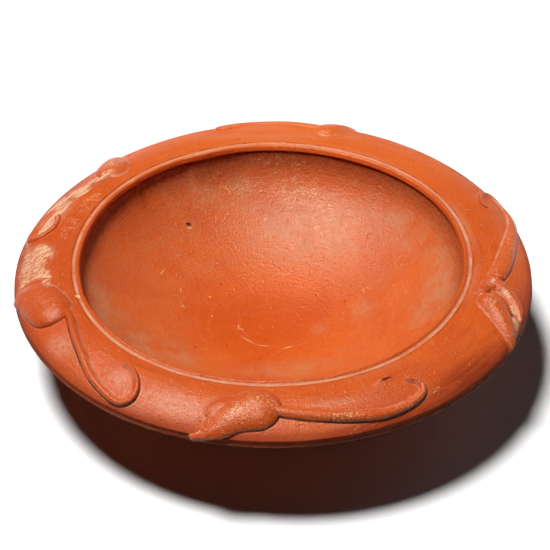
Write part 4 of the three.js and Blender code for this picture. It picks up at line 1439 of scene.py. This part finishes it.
def stroke_material(slip, name, flecks, rubbed):
    """Trailed slip's finish: slip coat with burnt pores, deeper low on the stroke, painted lighter at the
    back and deeper at the left, with painted glints and painted sheen where marks say that it shines, lime
    along its edge, painted shade at the foot of its crisp side and cream where it is worn through."""
    material, nodes, shader = new_material(name)
    vector = nodes.place()
    edge, shine = nodes.field("edge"), nodes.field("shine")
    # Painted glints: pale flecks in clusters, strongest where the shine marks lie.
    sparkle = nodes.ease(nodes.noise(vector, "sparkle"), 0.36, 0.6, 0.2, 1.0)
    flecks = nodes.times(nodes.between(shine, 0.3 * flecks, flecks), sparkle)
    coat = slip_coat(slip, nodes, vector, slip.burnt_and_shade, STROKE_GRAIN, 0.75, flecks)
    low = nodes.ease(nodes.field("crown"), 0.9, 0.2, 0.25, 0.6)
    tone = painted_sides(slip, nodes, nodes.tint(low, coat["Color"], slip.deep_slip_and_shade), 1.0)
    # Painted sheen: pinkish bloom where the shine marks lie, as strong as the rubbed share says.
    painted_sheen = nodes.times(shine, nodes.ease(nodes.noise(vector, "painted_sheen"), 0.42, 0.62), rubbed)
    tone = nodes.tint(painted_sheen, tone, slip.bloom_and_sheen)
    steep = nodes.ease(nodes.field("crisp"), -0.2, 0.5)
    shift, half_width = (
        nodes.between(steep, soft * MM, crisp * MM) for soft, crisp in (LIME_SHIFTS, LIME_HALVES)
    )
    lime = nodes.times(soft_line(nodes, vector, nodes.plus(edge, shift), half_width), nodes.field("lime"))
    tone = nodes.tint(lime, tone, slip.lime)
    # Painted shade at the foot of the crisp side.
    edge_shade = soft_line(nodes, vector, edge, EDGE_SHADE_HALF * MM)
    edge_shade = nodes.times(edge_shade, nodes.times(steep, nodes.field("edge_shade")), 0.9)
    tone = nodes.tint(edge_shade, tone, slip.soot_and_shade)
    worn = worn_skin(nodes, vector, nodes.field("cream"), WORN_GRAIN)
    tone = nodes.tint(worn, tone, slip.cream)
    roughness = nodes.plus(
        coat["Roughness"], nodes.times(worn, 0.25), nodes.ease(shine, 0.0, 0.8, 0.06, -0.02), -0.09
    )
    height = nodes.minus(coat["Height"], nodes.times(worn, 0.2))
    finish_slip(slip, nodes, shader, tone, roughness, height, STROKE_RELIEF)
    return material


def stage_material():
    """Floor's finish: pale and plain. To the camera and in reflections the floor is white, and so is the
    sweep above it, which gives no light to the dish."""
    material, nodes, shader = new_material("Pale floor")
    path = nodes.add("ShaderNodeLightPath", {}).node.outputs
    seen = nodes.most(path["Is Camera Ray"], path["Is Glossy Ray"], path["Is Transmission Ray"])
    tone = nodes.tint(seen, FLOOR_TONE, SEEN_TONE)
    floor = nodes.add("ShaderNodeBsdfDiffuse", {"Color": tone})
    sweep = nodes.add("ShaderNodeEmission", {"Color": (1, 1, 1, 1), "Strength": seen})
    rise = nodes.band(nodes.height(nodes.place()), (0, SWEEP_BLEND))
    either = nodes.add("ShaderNodeMixShader", {0: rise, 1: floor, 2: sweep})
    nodes.fill(nodes.tree.nodes["Material Output"], {"Surface": either})
    nodes.tree.nodes.remove(shader)
    return material


def stage_floor(stage):
    """Floor: a flat disc whose edge sweeps up in a quadratic curve, turned about the upright."""
    radius, far = stage.floor_radius, stage.floor_radius * SWEEP_REACH
    section = np.concatenate([
        [(radius * 0.5, 0), (radius, 0)], bend((radius, 0), (far, 0), (far, stage.wall_height), SWEEP_POINTS)
    ])
    angle = np.linspace(0, TURN, FLOOR_SIDES, endpoint=False)
    points = polar(section[:, :1], angle, section[:, 1:]).reshape(-1, 3)
    ring = 1 + np.arange(len(points)).reshape(len(section), FLOOR_SIDES)
    faces = [bands(ring)[:, ::-1], fan(0, ring[0])[:, [0, 2, 1]]]
    return smooth_mesh("pale_floor", np.concatenate([[(0, 0, 0)], points]), faces)


class DISH_OT_finishes(bpy.types.Operator):
    """Makes the node groups that the slip finishes share"""

    bl_idname = "dish.finishes"
    bl_label = "Mix finishes"

    def execute(self, context):
        slip_coat_group()
        turned_marks_group()
        placed_mark_group()
        worn_skin_group()
        soft_line_group()
        return {"FINISHED"}


class DISH_OT_body(bpy.types.Operator):
    """Throws the body: bowl, bead, groove and flange in one piece"""

    bl_idname = "dish.body"
    bl_label = "Throw body"

    def execute(self, context):
        scene = context.scene
        place_piece(body_surface(scene.dish_sizes), body_material(scene.dish_slip), "dish_body")
        return {"FINISHED"}


class DISH_OT_foot(bpy.types.Operator):
    """Lutes the foot ring under the body"""

    bl_idname = "dish.foot"
    bl_label = "Lute foot ring"

    def execute(self, context):
        scene = context.scene
        place_piece(foot_surface(scene.dish_sizes), foot_material(scene.dish_slip), "foot_ring")
        return {"FINISHED"}


class DISH_OT_leaves(bpy.types.Operator):
    """Trails the five leaves on the flange"""

    bl_idname = "dish.leaves"
    bl_label = "Trail leaves"

    def execute(self, context):
        scene = context.scene
        material = stroke_material(scene.dish_slip, "Leaf slip", LEAF_FLECKS_AND_GLINTS, LEAF_SHEEN)
        for count, motif in enumerate(MOTIFS, 1):
            mesh = leaf_surface(scene.dish_sizes, motif, f"trailed_leaf_{count}")
            place_piece(mesh, material, f"leaf_{count}")
        return {"FINISHED"}


class DISH_OT_tendrils(bpy.types.Operator):
    """Trails the five tendrils from the leaves"""

    bl_idname = "dish.tendrils"
    bl_label = "Trail tendrils"

    def execute(self, context):
        scene = context.scene
        material = stroke_material(scene.dish_slip, "Tendril slip", TENDRIL_FLECKS_AND_GLINTS, TENDRIL_SHEEN)
        for count, motif in enumerate(MOTIFS, 1):
            mesh = tendril_surface(scene.dish_sizes, motif, f"trailed_tendril_{count}")
            place_piece(mesh, material, f"tendril_{count}")
        return {"FINISHED"}


class DISH_OT_stage(bpy.types.Operator):
    """Sets the pale floor, the studio light, the faint side light and the camera"""

    bl_idname = "dish.stage"
    bl_label = "Set stage"

    def execute(self, context):
        scene, stage = context.scene, context.scene.dish_stage
        mesh = stage_floor(stage)
        mesh.materials.append(stage_material())
        floor = bpy.data.objects.new("pale_floor", mesh)
        scene.collection.objects.link(floor)

        lights = (
            ("studio_key", stage.key_strength, stage.key_spread, stage.key_direction),
            ("studio_side", stage.side_strength, stage.side_spread, stage.side_direction),
        )
        for name, strength, spread, direction in lights:
            lamp = bpy.data.lights.new(name, "SUN")
            lamp.energy = strength
            lamp.angle = spread
            light = bpy.data.objects.new(name, lamp)
            light.rotation_euler = Vector(direction).to_track_quat("Z", "Y").to_euler()
            scene.collection.objects.link(light)
        world = bpy.data.worlds.new("plain_surround")
        world.use_nodes = True
        world.node_tree.nodes["Background"].inputs["Color"].default_value = (1, 1, 1, 1)
        world.node_tree.nodes["Background"].inputs["Strength"].default_value = stage.fill_strength
        scene.world = world

        view = bpy.data.cameras.new("camera")
        view.lens = stage.camera_lens
        view.shift_x, view.shift_y = stage.frame_shift
        camera = bpy.data.objects.new("camera", view)
        back = stage.camera_distance * math.cos(stage.camera_rise)
        up = stage.camera_distance * math.sin(stage.camera_rise)
        camera.location = (0, -back, scene.dish_sizes.flange_top + up)
        camera.rotation_euler = (math.pi / 2 - stage.camera_rise, 0, 0)
        scene.collection.objects.link(camera)
        scene.camera = camera
        scene.view_settings.view_transform = "Standard"
        return {"FINISHED"}


class DISH_PT_panel(bpy.types.Panel):
    """Lists the dish's pieces, sizes and colours"""

    bl_idname = "DISH_PT_panel"
    bl_label = "Redware Dish"
    bl_space_type = "VIEW_3D"
    bl_region_type = "UI"
    bl_category = "Dish"

    def draw(self, context):
        for step in STEPS:
            self.layout.operator(step.bl_idname)
        for group in (context.scene.dish_sizes, context.scene.dish_slip, context.scene.dish_stage):
            box = self.layout.box()
            for key in group.__annotations__:
                box.prop(group, key)


STEPS = (DISH_OT_finishes, DISH_OT_body, DISH_OT_foot, DISH_OT_leaves, DISH_OT_tendrils, DISH_OT_stage)
CLASSES = (DishSizes, DishSlip, DishStage, *STEPS, DISH_PT_panel)


def register():
    """Registers the classes and hangs the settings on the scene."""
    for each in CLASSES:
        bpy.utils.register_class(each)
    bpy.types.Scene.dish_sizes = bpy.props.PointerProperty(type=DishSizes)
    bpy.types.Scene.dish_slip = bpy.props.PointerProperty(type=DishSlip)
    bpy.types.Scene.dish_stage = bpy.props.PointerProperty(type=DishStage)


def unregister():
    """Takes the settings off the scene and unregisters the classes."""
    del bpy.types.Scene.dish_stage
    del bpy.types.Scene.dish_slip
    del bpy.types.Scene.dish_sizes
    for each in reversed(CLASSES):
        bpy.utils.unregister_class(each)


def main():
    """Makes the dish and its stage."""
    register()
    bpy.ops.dish.finishes()
    bpy.ops.dish.body()
    bpy.ops.dish.foot()
    bpy.ops.dish.leaves()
    bpy.ops.dish.tendrils()
    bpy.ops.dish.stage()


if __name__ == "__main__":
    main()
